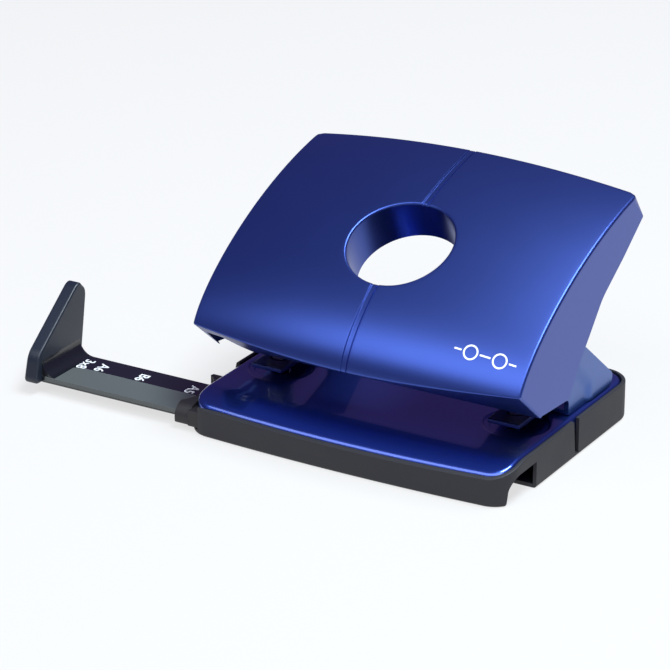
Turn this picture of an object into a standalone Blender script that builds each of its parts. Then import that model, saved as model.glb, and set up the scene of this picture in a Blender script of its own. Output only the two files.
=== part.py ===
"""Two-hole desk punch, built as an assembly of separate named pieces.

All driving dimensions are in millimetres.  The frame has X along the row of holes,
Y from the front edge to the rear edge and Z up, with the origin on the table
under the middle of the base.
"""

import math

import bmesh
import bpy
from mathutils import Matrix, Vector

MM = 0.001
GAP = 0.3                    # play left between pieces that touch
SMOOTH_ANGLE = 30.0          # faces that meet at less than this are shaded as one

# Punching geometry
HOLE_PITCH = 80.0            # standard distance between the two holes
HOLE_RADIUS = 2.75
EDGE_TO_HOLE = 12.0          # standard distance from the paper edge to a hole centre
PUNCH_Y = -8.3
PAPER_STOP_Y = PUNCH_Y + EDGE_TO_HOLE
PAPER_SLOT = 2.1

# Base plate and tray
PLATE_TOP = 12.0
PLATE_SHEET = 1.2
PLATE_HALF_WIDTH = 52.5
PLATE_FRONT = -40.6
PLATE_REAR = 40.8
PLATE_EDGE_BOTTOM = 7.3      # the turned-down edge ends at this height
PLATE_EDGE_ROUND = 1.0
TRAY_WALL = 1.15
TRAY_FLOOR = 1.2
TRAY_HALF_WIDTH = PLATE_HALF_WIDTH + TRAY_WALL + GAP
TRAY_FRONT = PLATE_FRONT - TRAY_WALL - GAP
TRAY_REAR = PLATE_REAR + TRAY_WALL + GAP
FRONT_BOW = 1.4              # the front edge bulges forward by this much in the middle
FRONT_CORNER = 6.5
REAR_CORNER = 8.0
SLOPE_START_Y = -28.0        # forward of this the top of the base curves down
SLOPE_DROP = 4.0             # fall of the top at the front edge
DISH_RADIUS = 9.0
DISH_DEPTH = 0.7
DIE_CLEARANCE = 0.1            # a die hole is this much larger in radius than its pin

# Tray flap
FLAP_HINGE_Y = 4.4
FLAP_HINGE_Z = 0.15
SLIT_WIDTH = 1.9              # at the tray's floor
SLIT_TOP_WIDTH = 3.1
NOTCH_FRONT_Y = -38.0
NOTCH_REAR_Y = -22.0
NOTCH_HEIGHT = 8.4
NOTCH_ROUND = 5.0
GUIDE_SWING_ROOM = 4.6        # the flap's wall leans back by this much to clear the rail guide

# Brackets
BRACKET_SHEET = 1.5
BRACKET_INSET = 1.0           # from the plate's side edge to the outer cheek
BRACKET_OUTER = PLATE_HALF_WIDTH - BRACKET_INSET
PIN_TO_INNER_CHEEK = 10.7     # from a punch pin's axis to the inner cheek's inner face
BRACKET_INNER = HOLE_PITCH / 2 - PIN_TO_INNER_CHEEK
BRACKET_REAR_Y = 30.8
BRACKET_CORNER = 2.6
CHEEK_LOW = 17.4             # lower edge of the cheek above the paper stop
CHEEK_TOP = 33.0
CHEEK_TOP_REAR_Y = 10.0
TONGUE_MARGIN = 2.15          # metal left beside the pin's guide hole
TONGUE_HALF_WIDTH = HOLE_RADIUS + GAP + TONGUE_MARGIN
TONGUE_FRONT_Y = -16.5
PIVOT_Y = -18.5
PIVOT_Z = 28.0
PIVOT_LOBE = 4.2
AXLE_RADIUS = 2.0
AXLE_STAND_OUT = 0.6          # the axle ends this far outside the outer cheeks
AXLE_HALF_LENGTH = BRACKET_OUTER + AXLE_STAND_OUT
CLIP_THICKNESS = 0.8
CLIP_RADIUS = 3.6
CLIP_GROOVE_DEPTH = 0.5
RIVET_RADIUS = 1.6
RIVET_HEAD_RADIUS = 2.8
RIVET_HEAD = 1.0
RIVET_SPOTS = ((36.0, 11.0), (44.5, 21.0))

# Punch pins and springs
PIN_TIP_Z = 14.6
PIN_TOP_Z = 28.3
PIN_DOME = 0.6
RING_Z = 25.4
RING_THICKNESS = 0.8
RING_STAND_OUT = 1.55         # the ring is this much larger in radius than the pin
RING_RADIUS = HOLE_RADIUS + RING_STAND_OUT
SPRING_WIRE = 0.35            # radius of the wire
SPRING_CLEARANCE = 0.5        # between the pin and the coils
SPRING_RADIUS = HOLE_RADIUS + SPRING_CLEARANCE + SPRING_WIRE
SPRING_TURNS = 4.5

# Press arms
ARM_SHEET = 1.8
ARM_HALF_WIDTH = 8.6
ARM_CENTRE_X = HOLE_PITCH / 2 + 0.4
ARM_TOP = 34.6
ARM_FRONT_Y = -20.0
ARM_REAR_Y = 3.0
NOSE_RADIUS = 2.0
SCREW_Y = -1.6
SCREW_RADIUS = 1.4
SCREW_HEAD_RADIUS = 2.6
SCREW_HEAD = 1.5
SCREW_LENGTH = 8.0
BOSS_RADIUS = 3.6

# Lever shell
LEVER_WALL = 1.8
LEVER_SIDE_PLAY = 0.5         # between an axle end and the lever's side wall
LEVER_HALF_WIDTH = AXLE_HALF_LENGTH + LEVER_SIDE_PLAY + LEVER_WALL
FACE_CURVE = ((-34.2, 32.5), (-28.4, 44.8), (2.2, 64.6), (38.0, 70.6))
FACE_CROWN = 4.2             # rise of the face in the middle, at right angles to it
FACE_BOTTOM_BOW = 3.0        # extra length of the face in the middle of its lower edge
FACE_CORNER = 2.6
LIP_EDGE = (-20.9, 21.4)
RIM_TIP = (42.4, 62.8)
SIDE_EDGE = ((29.7, 53.6), (16.6, 45.3), (9.2, 36.9), (2.8, 30.0), (-1.6, 23.2), (-3.6, 20.9))
LEVER_EDGE_ROUND = 0.7
EYE_CURVE_PLACE = 0.556      # where along the face curve the big hole sits
EYE_RADIUS = 16.2
EYE_TUBE_WALL = 1.6
EYE_TUBE_LENGTH = 14.5
GROOVE_WIDTH = 2.0
GROOVE_DEPTH = 0.5
LIP_NOTCH_FROM_SIDE = (2.4, 10.9)   # where the lip is cut back, from the lever's left side
LIP_NOTCH_Y = -30.0

# Paper rail and its guide
RAIL_FRONT_Y = -37.9
RAIL_REAR_Y = -17.0
RAIL_TOP = 5.5
RAIL_THICKNESS = 2.0
STOP_PULLED_OUT = 54.5        # from the plate's left edge to the stop, as modelled
STOP_INNER_X = -PLATE_HALF_WIDTH - STOP_PULLED_OUT
STOP_THICKNESS = 4.5
RAIL_INNER_END_X = 1.0
STOP_OUTLINE = ((-41.4, 3.5), (-38.9, 12.4), (-18.2, 28.4), (-16.2, 28.9), (-13.5, 26.0),
                (-13.3, 24.0), (-16.8, 3.5))
STOP_SCOOP_RADIUS = 5.0
HOOD_REACH = 3.9              # the guide's mouth stands out this far from the tray
GUIDE_OUTER_X = -TRAY_HALF_WIDTH - HOOD_REACH
GUIDE_INNER_X = -24.0
GUIDE_SIDE = 1.3
GUIDE_BOTTOM = 1.8
HOOD_OUTLINE = ((-39.5, 1.8), (-39.5, 5.0), (-37.6, 7.4), (-31.0, 8.9), (-23.0, 10.2),
                (-17.4, 9.6), (-15.4, 7.8), (-15.4, 1.8))
HOOD_SCOOP_RADIUS = 9.5


# ---------------------------------------------------------------- helpers

def clear_scene():
    """Remove whatever the start-up scene holds."""
    for obj in list(bpy.data.objects):
        bpy.data.objects.remove(obj, do_unlink=True)


def new_collection(name):
    """Make a collection and link it to the scene."""
    collection = bpy.data.collections.new(name)
    bpy.context.scene.collection.children.link(collection)
    return collection


def material(name, colour, metallic=0.0, roughness=0.5):
    """A plain Principled material."""
    mat = bpy.data.materials.new(name)
    mat.use_nodes = True
    shader = mat.node_tree.nodes["Principled BSDF"]
    shader.inputs["Base Color"].default_value = (*colour, 1.0)
    shader.inputs["Metallic"].default_value = metallic
    shader.inputs["Roughness"].default_value = roughness
    return mat


def add_part(obj, mat):
    """Finish a sub-part: apply its modifiers, shade its round faces smooth, give its material."""
    PARTS.objects.link(obj)
    if obj.type == "MESH":
        bpy.context.view_layer.update()
        result = obj.evaluated_get(bpy.context.evaluated_depsgraph_get())
        obj.data = bpy.data.meshes.new_from_object(result)
        obj.data.name = obj.name
        obj.modifiers.clear()
        obj.data.shade_smooth()
        obj.data.set_sharp_from_angle(angle=math.radians(SMOOTH_ANGLE))
    obj.data.materials.append(mat)
    return obj


def add_cutter(obj):
    """Put a helper body in the cutter collection, hidden from the result."""
    CUTTERS.objects.link(obj)
    obj.hide_render = True
    obj.display_type = "WIRE"
    return obj


def body(name, work):
    """A mesh object from a bmesh in metres, its faces turned outwards."""
    bmesh.ops.recalc_face_normals(work, faces=work.faces)
    mesh = bpy.data.meshes.new(name)
    work.to_mesh(mesh)
    work.free()
    return bpy.data.objects.new(name, mesh)


def loft(name, loops):
    """A closed body through a row of equal-sized loops of points."""
    work = bmesh.new()
    rings = [[work.verts.new(Vector(point) * MM) for point in loop] for loop in loops]
    work.faces.new(rings[0])
    work.faces.new(rings[-1])
    for ring, following in zip(rings, rings[1:]):
        for k, vertex in enumerate(ring):
            work.faces.new((ring[k - 1], vertex, following[k], following[k - 1]))
    return body(name, work)


def prism(name, outline, axis, start, end):
    """A flat outline pushed along one axis; the outline holds the other two axes in order."""
    place = "XYZ".index(axis)
    work = bmesh.new()
    corners = []
    for pair in outline:
        point = [value * MM for value in pair]
        point.insert(place, start * MM)
        corners.append(work.verts.new(point))
    face = work.faces.new(corners)
    pushed = bmesh.ops.extrude_face_region(work, geom=[face])["geom"]
    push = Vector((0, 0, 0))
    push[place] = (end - start) * MM
    bmesh.ops.translate(work, vec=push, verts=[g for g in pushed if isinstance(g, bmesh.types.BMVert)])
    return body(name, work)


def box(name, *spans):
    """A box from its (start, end) along X, Y and Z."""
    size = [abs(end - start) * MM for start, end in spans]
    middle = Vector([(start + end) / 2 for start, end in spans]) * MM
    work = bmesh.new()
    scaled = Matrix.Translation(middle) @ Matrix.Diagonal((*size, 1))
    bmesh.ops.create_cube(work, size=1.0, matrix=scaled)
    return body(name, work)


def rod(name, radius, start, end, sides=32):
    """A straight round rod between two points."""
    along = Vector(end) - Vector(start)
    turn = along.to_track_quat("Z", "Y").to_matrix().to_4x4()
    middle = Matrix.Translation((Vector(start) + along / 2) * MM)
    work = bmesh.new()
    bmesh.ops.create_cone(work, cap_ends=True, segments=sides, radius1=radius * MM,
                          radius2=radius * MM, depth=along.length * MM, matrix=middle @ turn)
    return body(name, work)


def set_origin(obj, point):
    """Move an object's origin, such as onto its joint's axis, without moving its shape."""
    shift = Vector(point) * MM
    obj.data.transform(Matrix.Translation(-shift))
    obj.location = shift


def turned(name, profile, location, axis="Z", steps=32):
    """A turned body: a profile of (radius, height) pairs, top to bottom, spun round its axis."""
    mesh = bpy.data.meshes.new(name)
    points = [(radius * MM, 0, height * MM) for radius, height in profile]
    edges = [(k, k + 1) for k in range(len(points) - 1)]
    if profile[0][0] > 0:
        edges.append((len(points) - 1, 0))
    mesh.from_pydata(points, edges, [])
    obj = bpy.data.objects.new(name, mesh)
    obj.location = Vector(location) * MM
    if axis == "X":
        obj.rotation_euler = (0, math.pi / 2, 0)
    screw = obj.modifiers.new("spin", "SCREW")
    screw.steps = steps
    screw.render_steps = steps
    screw.use_merge_vertices = True
    screw.merge_threshold = 0.00001
    return obj


def boolean(target, tool, operation):
    """Apply one body to another as an exact Boolean modifier."""
    step = target.modifiers.new(operation.lower() + "_" + tool.name, "BOOLEAN")
    step.operation = operation
    step.solver = "EXACT"
    step.object = add_cutter(tool)


def cut(target, tool):
    boolean(target, tool, "DIFFERENCE")


def fuse(target, tool):
    boolean(target, tool, "UNION")


def round_edges(obj, width, segments=2, angle=40.0):
    """Soften the sharp edges of a body."""
    bevel = obj.modifiers.new("rounding", "BEVEL")
    bevel.width = width * MM
    bevel.segments = segments
    bevel.limit_method = "ANGLE"
    bevel.angle_limit = math.radians(angle)
    bevel.use_clamp_overlap = True


def arc(centre, radius, start, end, count):
    """Points on an arc, angles in degrees."""
    points = []
    for k in range(count + 1):
        angle = math.radians(start + (end - start) * k / count)
        points.append((centre[0] + radius * math.cos(angle), centre[1] + radius * math.sin(angle)))
    return points


def side_name(side):
    return "right" if side > 0 else "left"


# ---------------------------------------------------------------- base plate and tray

def top_height(y, inset=0.0):
    """Height of the base's top at a given Y: flat, then curving down to the front."""
    run = max(0.0, SLOPE_START_Y - y) / (SLOPE_START_Y - TRAY_FRONT)
    return PLATE_TOP - inset - SLOPE_DROP * run ** 1.9


def plan_rows(inset):
    """Half widths and Y positions of the base's rounded plan, front to rear."""
    half_width = PLATE_HALF_WIDTH - inset
    front_radius = FRONT_CORNER - inset
    rear_radius = REAR_CORNER - inset
    corner_x = half_width - front_radius
    front = PLATE_FRONT + inset
    side_front = front + FRONT_BOW
    rear = PLATE_REAR - inset
    rows = [(x, front + FRONT_BOW * (x / corner_x) ** 2) for x in (8.0, 18.0, 28.0, 38.0)]
    rows += arc((corner_x, side_front + front_radius), front_radius, -90, 0, 6)
    rows += [(half_width, y) for y in (-31.0, SLOPE_START_Y, 0.0)]
    rows += arc((half_width - rear_radius, rear - rear_radius), rear_radius, 0, 90, 6)
    return rows


def base_volume(name, inset, bottom, top_inset=0.0, raised=0.0, rounding=0.0):
    """A block with the base's plan and curved top, its upper edge rounded over."""
    layers = [(inset, None)]
    for angle in (0, 30, 60, 90) if rounding else (0,):
        turn = math.radians(angle)
        layers.append((inset + rounding * (1 - math.cos(turn)), rounding * (1 - math.sin(turn))))
    work = bmesh.new()
    rings = []
    for layer_inset, drop in layers:
        rows = plan_rows(layer_inset)
        ring = []
        for x, y in rows + [(-x, y) for x, y in reversed(rows)]:
            z = bottom if drop is None else top_height(y, top_inset) + raised - drop
            ring.append(work.verts.new(Vector((x, y, z)) * MM))
        rings.append(ring)
    work.faces.new(rings[0])
    for ring, following in zip(rings, rings[1:]):
        for k, vertex in enumerate(ring):
            work.faces.new((ring[k - 1], vertex, following[k], following[k - 1]))
    for k in range(len(rings[-1]) // 2 - 1):
        work.faces.new((rings[-1][k], rings[-1][k + 1], rings[-1][-2 - k], rings[-1][-1 - k]))
    return body(name, work)


def make_base_plate():
    """Pressed steel plate with a turned-down edge, two dished die areas and rivet holes."""
    plate = base_volume("base_plate", 0.0, PLATE_EDGE_BOTTOM, rounding=PLATE_EDGE_ROUND)
    cut(plate, base_volume("plate_hollow", PLATE_SHEET, 0.0, PLATE_SHEET))
    for side in (-1, 1):
        x = side * HOLE_PITCH / 2
        under = PLATE_TOP - PLATE_SHEET
        fuse(plate, rod("dish_back_" + side_name(side), DISH_RADIUS - 0.4,
                        (x, PUNCH_Y, under + 0.4), (x, PUNCH_Y, under - DISH_DEPTH)))
        die = HOLE_RADIUS + DIE_CLEARANCE
        profile = ((0, 3), (DISH_RADIUS + 2.4, 3), (DISH_RADIUS, 0),
                   (DISH_RADIUS - 1.4, -DISH_DEPTH), (die, -DISH_DEPTH),
                   (die, -PLATE_TOP), (0, -PLATE_TOP))
        cut(plate, turned("dish_" + side_name(side), profile, (x, PUNCH_Y, PLATE_TOP), steps=40))
        for k, (rivet_x, rivet_y) in enumerate(RIVET_SPOTS):
            centre = (side * rivet_x, rivet_y)
            cut(plate, rod(f"plate_rivet_hole_{side_name(side)}_{k}", RIVET_RADIUS + GAP,
                           (*centre, 0), (*centre, 20), sides=20))
    return add_part(plate, material("plate_blue_enamel", (0.03, 0.035, 0.25), 0.0, 0.12))


def tray_shell(name):
    """The whole tray before it is divided at the hinge line."""
    tray = base_volume(name, -TRAY_WALL - GAP, 0.0, 0.1, rounding=0.4)
    cut(tray, base_volume(name + "_hollow", -GAP, TRAY_FLOOR, raised=5.0))
    return tray


def make_tray_rear():
    """Fixed rear half of the chip tray."""
    tray = tray_shell("tray_rear")
    reach = TRAY_HALF_WIDTH + 5
    cut(tray, box("tray_rear_trim", (-reach, reach), (TRAY_FRONT - 5, FLAP_HINGE_Y + GAP / 2),
                  (-5, 20)))
    return add_part(tray, material("tray_black_plastic", (0.03, 0.03, 0.033), 0.0, 0.6))


def make_tray_flap():
    """Front half of the chip tray, which swings down about the thin strip at the slit."""
    flap = tray_shell("tray_flap")
    reach = TRAY_HALF_WIDTH + 5
    edge = FLAP_HINGE_Y - GAP / 2
    slit = ((edge, -5), (edge, TRAY_FLOOR), (edge - SLIT_WIDTH, TRAY_FLOOR + 0.1),
            (edge - SLIT_TOP_WIDTH, PLATE_TOP + 1), (edge - SLIT_TOP_WIDTH, 20),
            (TRAY_REAR + 5, 20), (TRAY_REAR + 5, -5))
    cut(flap, prism("tray_flap_trim", slit, "X", -reach, reach))
    notch = [(NOTCH_REAR_Y, -5), (NOTCH_REAR_Y, NOTCH_HEIGHT)]
    notch += arc((NOTCH_FRONT_Y + NOTCH_ROUND + 1, NOTCH_HEIGHT - NOTCH_ROUND), NOTCH_ROUND,
                 90, 180, 6)
    notch += [(NOTCH_FRONT_Y, -5)]
    cut(flap, prism("finger_notch", notch, "X", TRAY_HALF_WIDTH - 9, reach))
    front = RAIL_FRONT_Y - GUIDE_SIDE - 2 * GAP
    rear = RAIL_REAR_Y + GUIDE_SIDE + 2 * GAP
    low = GUIDE_BOTTOM - GAP
    opening = ((front, low), (rear, low), (rear + GUIDE_SWING_ROOM, PLATE_TOP + 1),
               (front, PLATE_TOP + 1))
    cut(flap, prism("guide_opening", opening, "X", -reach, GUIDE_INNER_X - 5))
    set_origin(flap, (0, FLAP_HINGE_Y, FLAP_HINGE_Z))
    return add_part(flap, material("flap_black_plastic", (0.03, 0.03, 0.033), 0.0, 0.6))


# ---------------------------------------------------------------- brackets

def cheek_outline():
    """Side view of a bracket cheek."""
    foot = PLATE_TOP + GAP
    corner = (BRACKET_REAR_Y - BRACKET_CORNER, foot + BRACKET_CORNER)
    outline = [(PAPER_STOP_Y, foot), (PAPER_STOP_Y, CHEEK_LOW)]
    outline += arc((PIVOT_Y, PIVOT_Z), PIVOT_LOBE, 290, 70, 11)
    outline += [(CHEEK_TOP_REAR_Y - 9, CHEEK_TOP), (CHEEK_TOP_REAR_Y, CHEEK_TOP)]
    outline += arc(corner, BRACKET_CORNER, 45, -90, 6)
    return outline


def axle_bore(side):
    """Cutter for the axle's holes through one bracket or press arm."""
    return rod("axle_bore_" + side_name(side), AXLE_RADIUS + GAP,
               (side * (BRACKET_INNER - 5), PIVOT_Y, PIVOT_Z),
               (side * (BRACKET_OUTER + 5), PIVOT_Y, PIVOT_Z))


def make_bracket(side):
    """Channel-shaped bearing bracket: two cheeks, a foot and a tongue that guides the pin."""
    name = side_name(side)
    outer = side * BRACKET_OUTER
    inner = side * BRACKET_INNER
    bracket = prism("bracket_" + name, cheek_outline(), "X", outer, outer - side * BRACKET_SHEET)
    fuse(bracket, prism("inner_cheek_" + name, cheek_outline(), "X", inner,
                        inner + side * BRACKET_SHEET))
    foot = PLATE_TOP + GAP
    low = PLATE_TOP + PAPER_SLOT
    fuse(bracket, box("foot_" + name, (inner + side * 0.1, outer - side * 0.1),
                      (PAPER_STOP_Y, BRACKET_REAR_Y - BRACKET_CORNER),
                      (foot, foot + BRACKET_SHEET)))
    punch = (side * HOLE_PITCH / 2, PUNCH_Y)
    width = (punch[0] - TONGUE_HALF_WIDTH, punch[0] + TONGUE_HALF_WIDTH)
    fuse(bracket, box("tongue_" + name, width, (TONGUE_FRONT_Y, PAPER_STOP_Y + BRACKET_SHEET),
                      (low, low + BRACKET_SHEET)))
    fuse(bracket, box("tongue_step_" + name, width,
                      (PAPER_STOP_Y + 0.05, PAPER_STOP_Y + BRACKET_SHEET),
                      (foot + 0.1, low + BRACKET_SHEET - 0.1)))
    cut(bracket, rod("pin_guide_" + name, HOLE_RADIUS + GAP, (*punch, 10), (*punch, 20)))
    cut(bracket, axle_bore(side))
    for k, (rivet_x, rivet_y) in enumerate(RIVET_SPOTS):
        centre = (side * rivet_x, rivet_y)
        cut(bracket, rod(f"foot_rivet_hole_{name}_{k}", RIVET_RADIUS + GAP,
                         (*centre, 10), (*centre, 20), sides=20))
    return add_part(bracket, material("bracket_blue_" + name, (0.04, 0.06, 0.3), 0.0, 0.2))


def make_rivet(side, index):
    """Rivet that holds a bracket foot to the plate."""
    x, y = RIVET_SPOTS[index]
    place = "front" if index == 0 else "rear"
    foot_top = PLATE_TOP + GAP + BRACKET_SHEET + GAP
    plate_under = PLATE_TOP - PLATE_SHEET - GAP
    profile = ((0, foot_top + RIVET_HEAD), (RIVET_HEAD_RADIUS * 0.6, foot_top + RIVET_HEAD),
               (RIVET_HEAD_RADIUS, foot_top + RIVET_HEAD * 0.3), (RIVET_HEAD_RADIUS, foot_top),
               (RIVET_RADIUS, foot_top), (RIVET_RADIUS, plate_under),
               (RIVET_HEAD_RADIUS, plate_under), (RIVET_HEAD_RADIUS * 0.8, plate_under - 0.8),
               (0, plate_under - 0.8))
    rivet = turned(f"bracket_rivet_{side_name(side)}_{place}", profile, (side * x, y, 0), steps=20)
    return add_part(rivet, material(f"rivet_steel_{side_name(side)}_{place}",
                                    (0.5, 0.5, 0.52), 1.0, 0.35))


def make_axle():
    """Pivot axle through both brackets, with a groove for each clip."""
    groove = AXLE_RADIUS - CLIP_GROOVE_DEPTH
    inner = BRACKET_INNER - GAP - CLIP_THICKNESS - 0.2
    outer = BRACKET_INNER - GAP + 0.2
    end = AXLE_HALF_LENGTH
    half = ((0, end), (AXLE_RADIUS - 0.4, end), (AXLE_RADIUS, end - 0.4), (AXLE_RADIUS, outer),
            (groove, outer), (groove, inner), (AXLE_RADIUS, inner))
    profile = half + tuple((radius, -height) for radius, height in reversed(half))
    axle = turned("pivot_axle", profile, (0, PIVOT_Y, PIVOT_Z), "X", 24)
    return add_part(axle, material("axle_steel", (0.6, 0.6, 0.62), 1.0, 0.25))


def make_axle_clip(side):
    """Spring clip that sits in the axle groove beside the inner cheek."""
    bore = AXLE_RADIUS - 0.2
    half = CLIP_THICKNESS / 2
    profile = ((bore, half), (CLIP_RADIUS, half), (CLIP_RADIUS, -half), (bore, -half))
    x = side * (BRACKET_INNER - GAP - half)
    clip = turned("axle_clip_" + side_name(side), profile, (x, PIVOT_Y, PIVOT_Z), "X", 24)
    return add_part(clip, material("clip_steel_" + side_name(side), (0.2, 0.2, 0.22), 1.0, 0.4))


# ---------------------------------------------------------------- punch pins

def make_pin(side):
    """Hardened punch pin with a hollow-ground tip and a ring groove."""
    groove = HOLE_RADIUS - 0.55
    height = PIN_TOP_Z - PIN_TIP_Z
    ring = RING_Z - PIN_TIP_Z
    profile = ((0, height), (HOLE_RADIUS * 0.6, height - PIN_DOME * 0.25),
               (HOLE_RADIUS, height - PIN_DOME), (HOLE_RADIUS, ring + RING_THICKNESS + 0.2),
               (groove, ring + RING_THICKNESS + 0.2), (groove, ring - 0.2),
               (HOLE_RADIUS, ring - 0.2), (HOLE_RADIUS, 0), (0, 0))
    x = side * HOLE_PITCH / 2
    name = side_name(side)
    pin = turned("punch_pin_" + name, profile, (x, PUNCH_Y, PIN_TIP_Z))
    cut(pin, rod("tip_hollow_" + name, 4.0, (x - 5, PUNCH_Y, PIN_TIP_Z - 3.2),
                 (x + 5, PUNCH_Y, PIN_TIP_Z - 3.2)))
    return add_part(pin, material("pin_steel_" + name, (0.55, 0.55, 0.57), 1.0, 0.2))


def make_pin_ring(side):
    """Retaining ring that the return spring pushes against."""
    bore = HOLE_RADIUS - 0.25
    profile = ((bore, RING_THICKNESS), (RING_RADIUS, RING_THICKNESS), (RING_RADIUS, 0), (bore, 0))
    ring = turned("pin_ring_" + side_name(side), profile,
                  (side * HOLE_PITCH / 2, PUNCH_Y, RING_Z), steps=28)
    return add_part(ring, material("ring_steel_" + side_name(side), (0.2, 0.2, 0.22), 1.0, 0.4))


def make_pin_spring(side):
    """Coil spring between the pin guide and the retaining ring."""
    low = PLATE_TOP + PAPER_SLOT + BRACKET_SHEET + GAP + SPRING_WIRE
    high = RING_Z - GAP - SPRING_WIRE
    per_turn = 12
    count = int(SPRING_TURNS * per_turn)
    curve = bpy.data.curves.new("pin_spring_" + side_name(side), "CURVE")
    curve.dimensions = "3D"
    curve.bevel_depth = SPRING_WIRE * MM
    curve.bevel_resolution = 1
    curve.use_fill_caps = True
    spline = curve.splines.new("POLY")
    spline.points.add(count)
    for k, point in enumerate(spline.points):
        angle = 2 * math.pi * k / per_turn
        place = Vector((SPRING_RADIUS * math.cos(angle), SPRING_RADIUS * math.sin(angle),
                        (high - low) * k / count)) * MM
        point.co = (*place, 1.0)
    spring = bpy.data.objects.new(curve.name, curve)
    spring.location = Vector((side * HOLE_PITCH / 2, PUNCH_Y, low)) * MM
    return add_part(spring, material("spring_steel_" + side_name(side), (0.45, 0.45, 0.47),
                                     1.0, 0.3))


# ---------------------------------------------------------------- lever

def lug_outline():
    """Side view of a press arm's lug."""
    lobe = arc((PIVOT_Y, PIVOT_Z), 3.9, 300, 150, 8)
    return lobe + [(ARM_FRONT_Y, ARM_TOP), (ARM_REAR_Y, ARM_TOP), (ARM_REAR_Y, ARM_TOP - 4.0),
                   (PUNCH_Y + 5, PIVOT_Z + 1.0), (PUNCH_Y - 5, PIVOT_Z - 1.0)]


def make_press_arm(side):
    """Steel channel inside the lever that turns on the axle and pushes one pin down."""
    name = side_name(side)
    centre = side * ARM_CENTRE_X
    arm = prism("press_arm_" + name, lug_outline(), "X", centre - ARM_HALF_WIDTH,
                centre - ARM_HALF_WIDTH + ARM_SHEET)
    set_origin(arm, (0, PIVOT_Y, PIVOT_Z))
    fuse(arm, prism("far_lug_" + name, lug_outline(), "X", centre + ARM_HALF_WIDTH - ARM_SHEET,
                    centre + ARM_HALF_WIDTH))
    fuse(arm, box("arm_top_" + name,
                  (centre - ARM_HALF_WIDTH + 0.1, centre + ARM_HALF_WIDTH - 0.1),
                  (ARM_FRONT_Y + 0.1, ARM_REAR_Y - 0.1), (ARM_TOP - ARM_SHEET, ARM_TOP - 0.1)))
    nose_z = PIN_TOP_Z + GAP + NOSE_RADIUS
    rib = [(PUNCH_Y + NOSE_RADIUS, ARM_TOP - 1.0), (PUNCH_Y - NOSE_RADIUS, ARM_TOP - 1.0)]
    rib += arc((PUNCH_Y, nose_z), NOSE_RADIUS, 180, 360, 8)
    fuse(arm, prism("nose_" + name, rib, "X", centre - ARM_HALF_WIDTH + 0.2,
                    centre + ARM_HALF_WIDTH - 0.2))
    cut(arm, axle_bore(side))
    cut(arm, rod("arm_screw_hole_" + name, SCREW_RADIUS + GAP, (centre, SCREW_Y, 20),
                 (centre, SCREW_Y, 50), sides=20))
    return add_part(arm, material("arm_steel_" + name, (0.35, 0.35, 0.37), 1.0, 0.4))


def make_arm_screw(side):
    """Screw from below that ties a press arm to the boss inside the lever shell."""
    head_top = ARM_TOP - ARM_SHEET - GAP
    profile = ((0, SCREW_LENGTH), (SCREW_RADIUS, SCREW_LENGTH - 0.8), (SCREW_RADIUS, 0),
               (SCREW_HEAD_RADIUS, 0), (SCREW_HEAD_RADIUS, -SCREW_HEAD * 0.6),
               (SCREW_HEAD_RADIUS * 0.7, -SCREW_HEAD), (0, -SCREW_HEAD))
    screw = turned("arm_screw_" + side_name(side), profile,
                   (side * ARM_CENTRE_X, SCREW_Y, head_top), steps=20)
    return add_part(screw, material("screw_steel_" + side_name(side), (0.6, 0.6, 0.6), 1.0, 0.3))


def curve_point(place):
    """Point and unit tangent on the face curve seen from the side."""
    a, b, c, d = (Vector(p) for p in FACE_CURVE)
    rest = 1 - place
    point = rest ** 3 * a + 3 * rest ** 2 * place * b + 3 * rest * place ** 2 * c + place ** 3 * d
    slope = 3 * (rest ** 2 * (b - a) + 2 * rest * place * (c - b) + place ** 2 * (d - c))
    return point, slope


def face_chain(x, count=16):
    """Side view of the shell at one X: lip edge, up the face and over to the rim tip."""
    middle = 1 - (x / LEVER_HALF_WIDTH) ** 2
    rounding = max(0.0, abs(x) - (LEVER_HALF_WIDTH - FACE_CORNER))
    shorter = FACE_CORNER - math.sqrt(max(0.0, FACE_CORNER ** 2 - rounding ** 2))
    first = -FACE_BOTTOM_BOW * middle / curve_point(0.0)[1].length
    last = 1 - shorter / curve_point(1.0)[1].length
    chain = [Vector(LIP_EDGE)]
    for k in range(count + 1):
        point, slope = curve_point(first + (last - first) * k / count)
        outward = Vector((-slope.y, slope.x)).normalized()
        chain.append(point + outward * FACE_CROWN * middle)
    chain.append(Vector(RIM_TIP) + Vector((0, FACE_CROWN * middle)))
    return chain


def offset_chain(chain, distance):
    """The same chain moved sideways; a positive distance moves it into the shell."""
    moved = []
    for k, point in enumerate(chain):
        before = (point - chain[max(k - 1, 0)])
        after = (chain[min(k + 1, len(chain) - 1)] - point)
        normals = [Vector((s.y, -s.x)).normalized() for s in (before, after) if s.length > 0]
        mean = sum(normals, Vector((0, 0))) / len(normals)
        moved.append(point + mean * distance / mean.length_squared)
    return moved


def stations(half_width):
    """X positions across the lever, closer together in the rounded corners."""
    start = LEVER_HALF_WIDTH - FACE_CORNER
    right = [start * k / 7 for k in range(8)]
    right += [start + FACE_CORNER * math.sin(math.radians(a)) for a in (30, 60)]
    right = [x for x in right if x < half_width - 0.2] + [half_width]
    return [-x for x in reversed(right[1:])] + right


def lever_solid():
    """The lever's outside form, filled."""
    loops = []
    for x in stations(LEVER_HALF_WIDTH):
        loop = face_chain(x) + [Vector(p) for p in SIDE_EDGE]
        loops.append([(x, p.x, p.y) for p in loop])
    return loft("lever_shell", loops)


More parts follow.
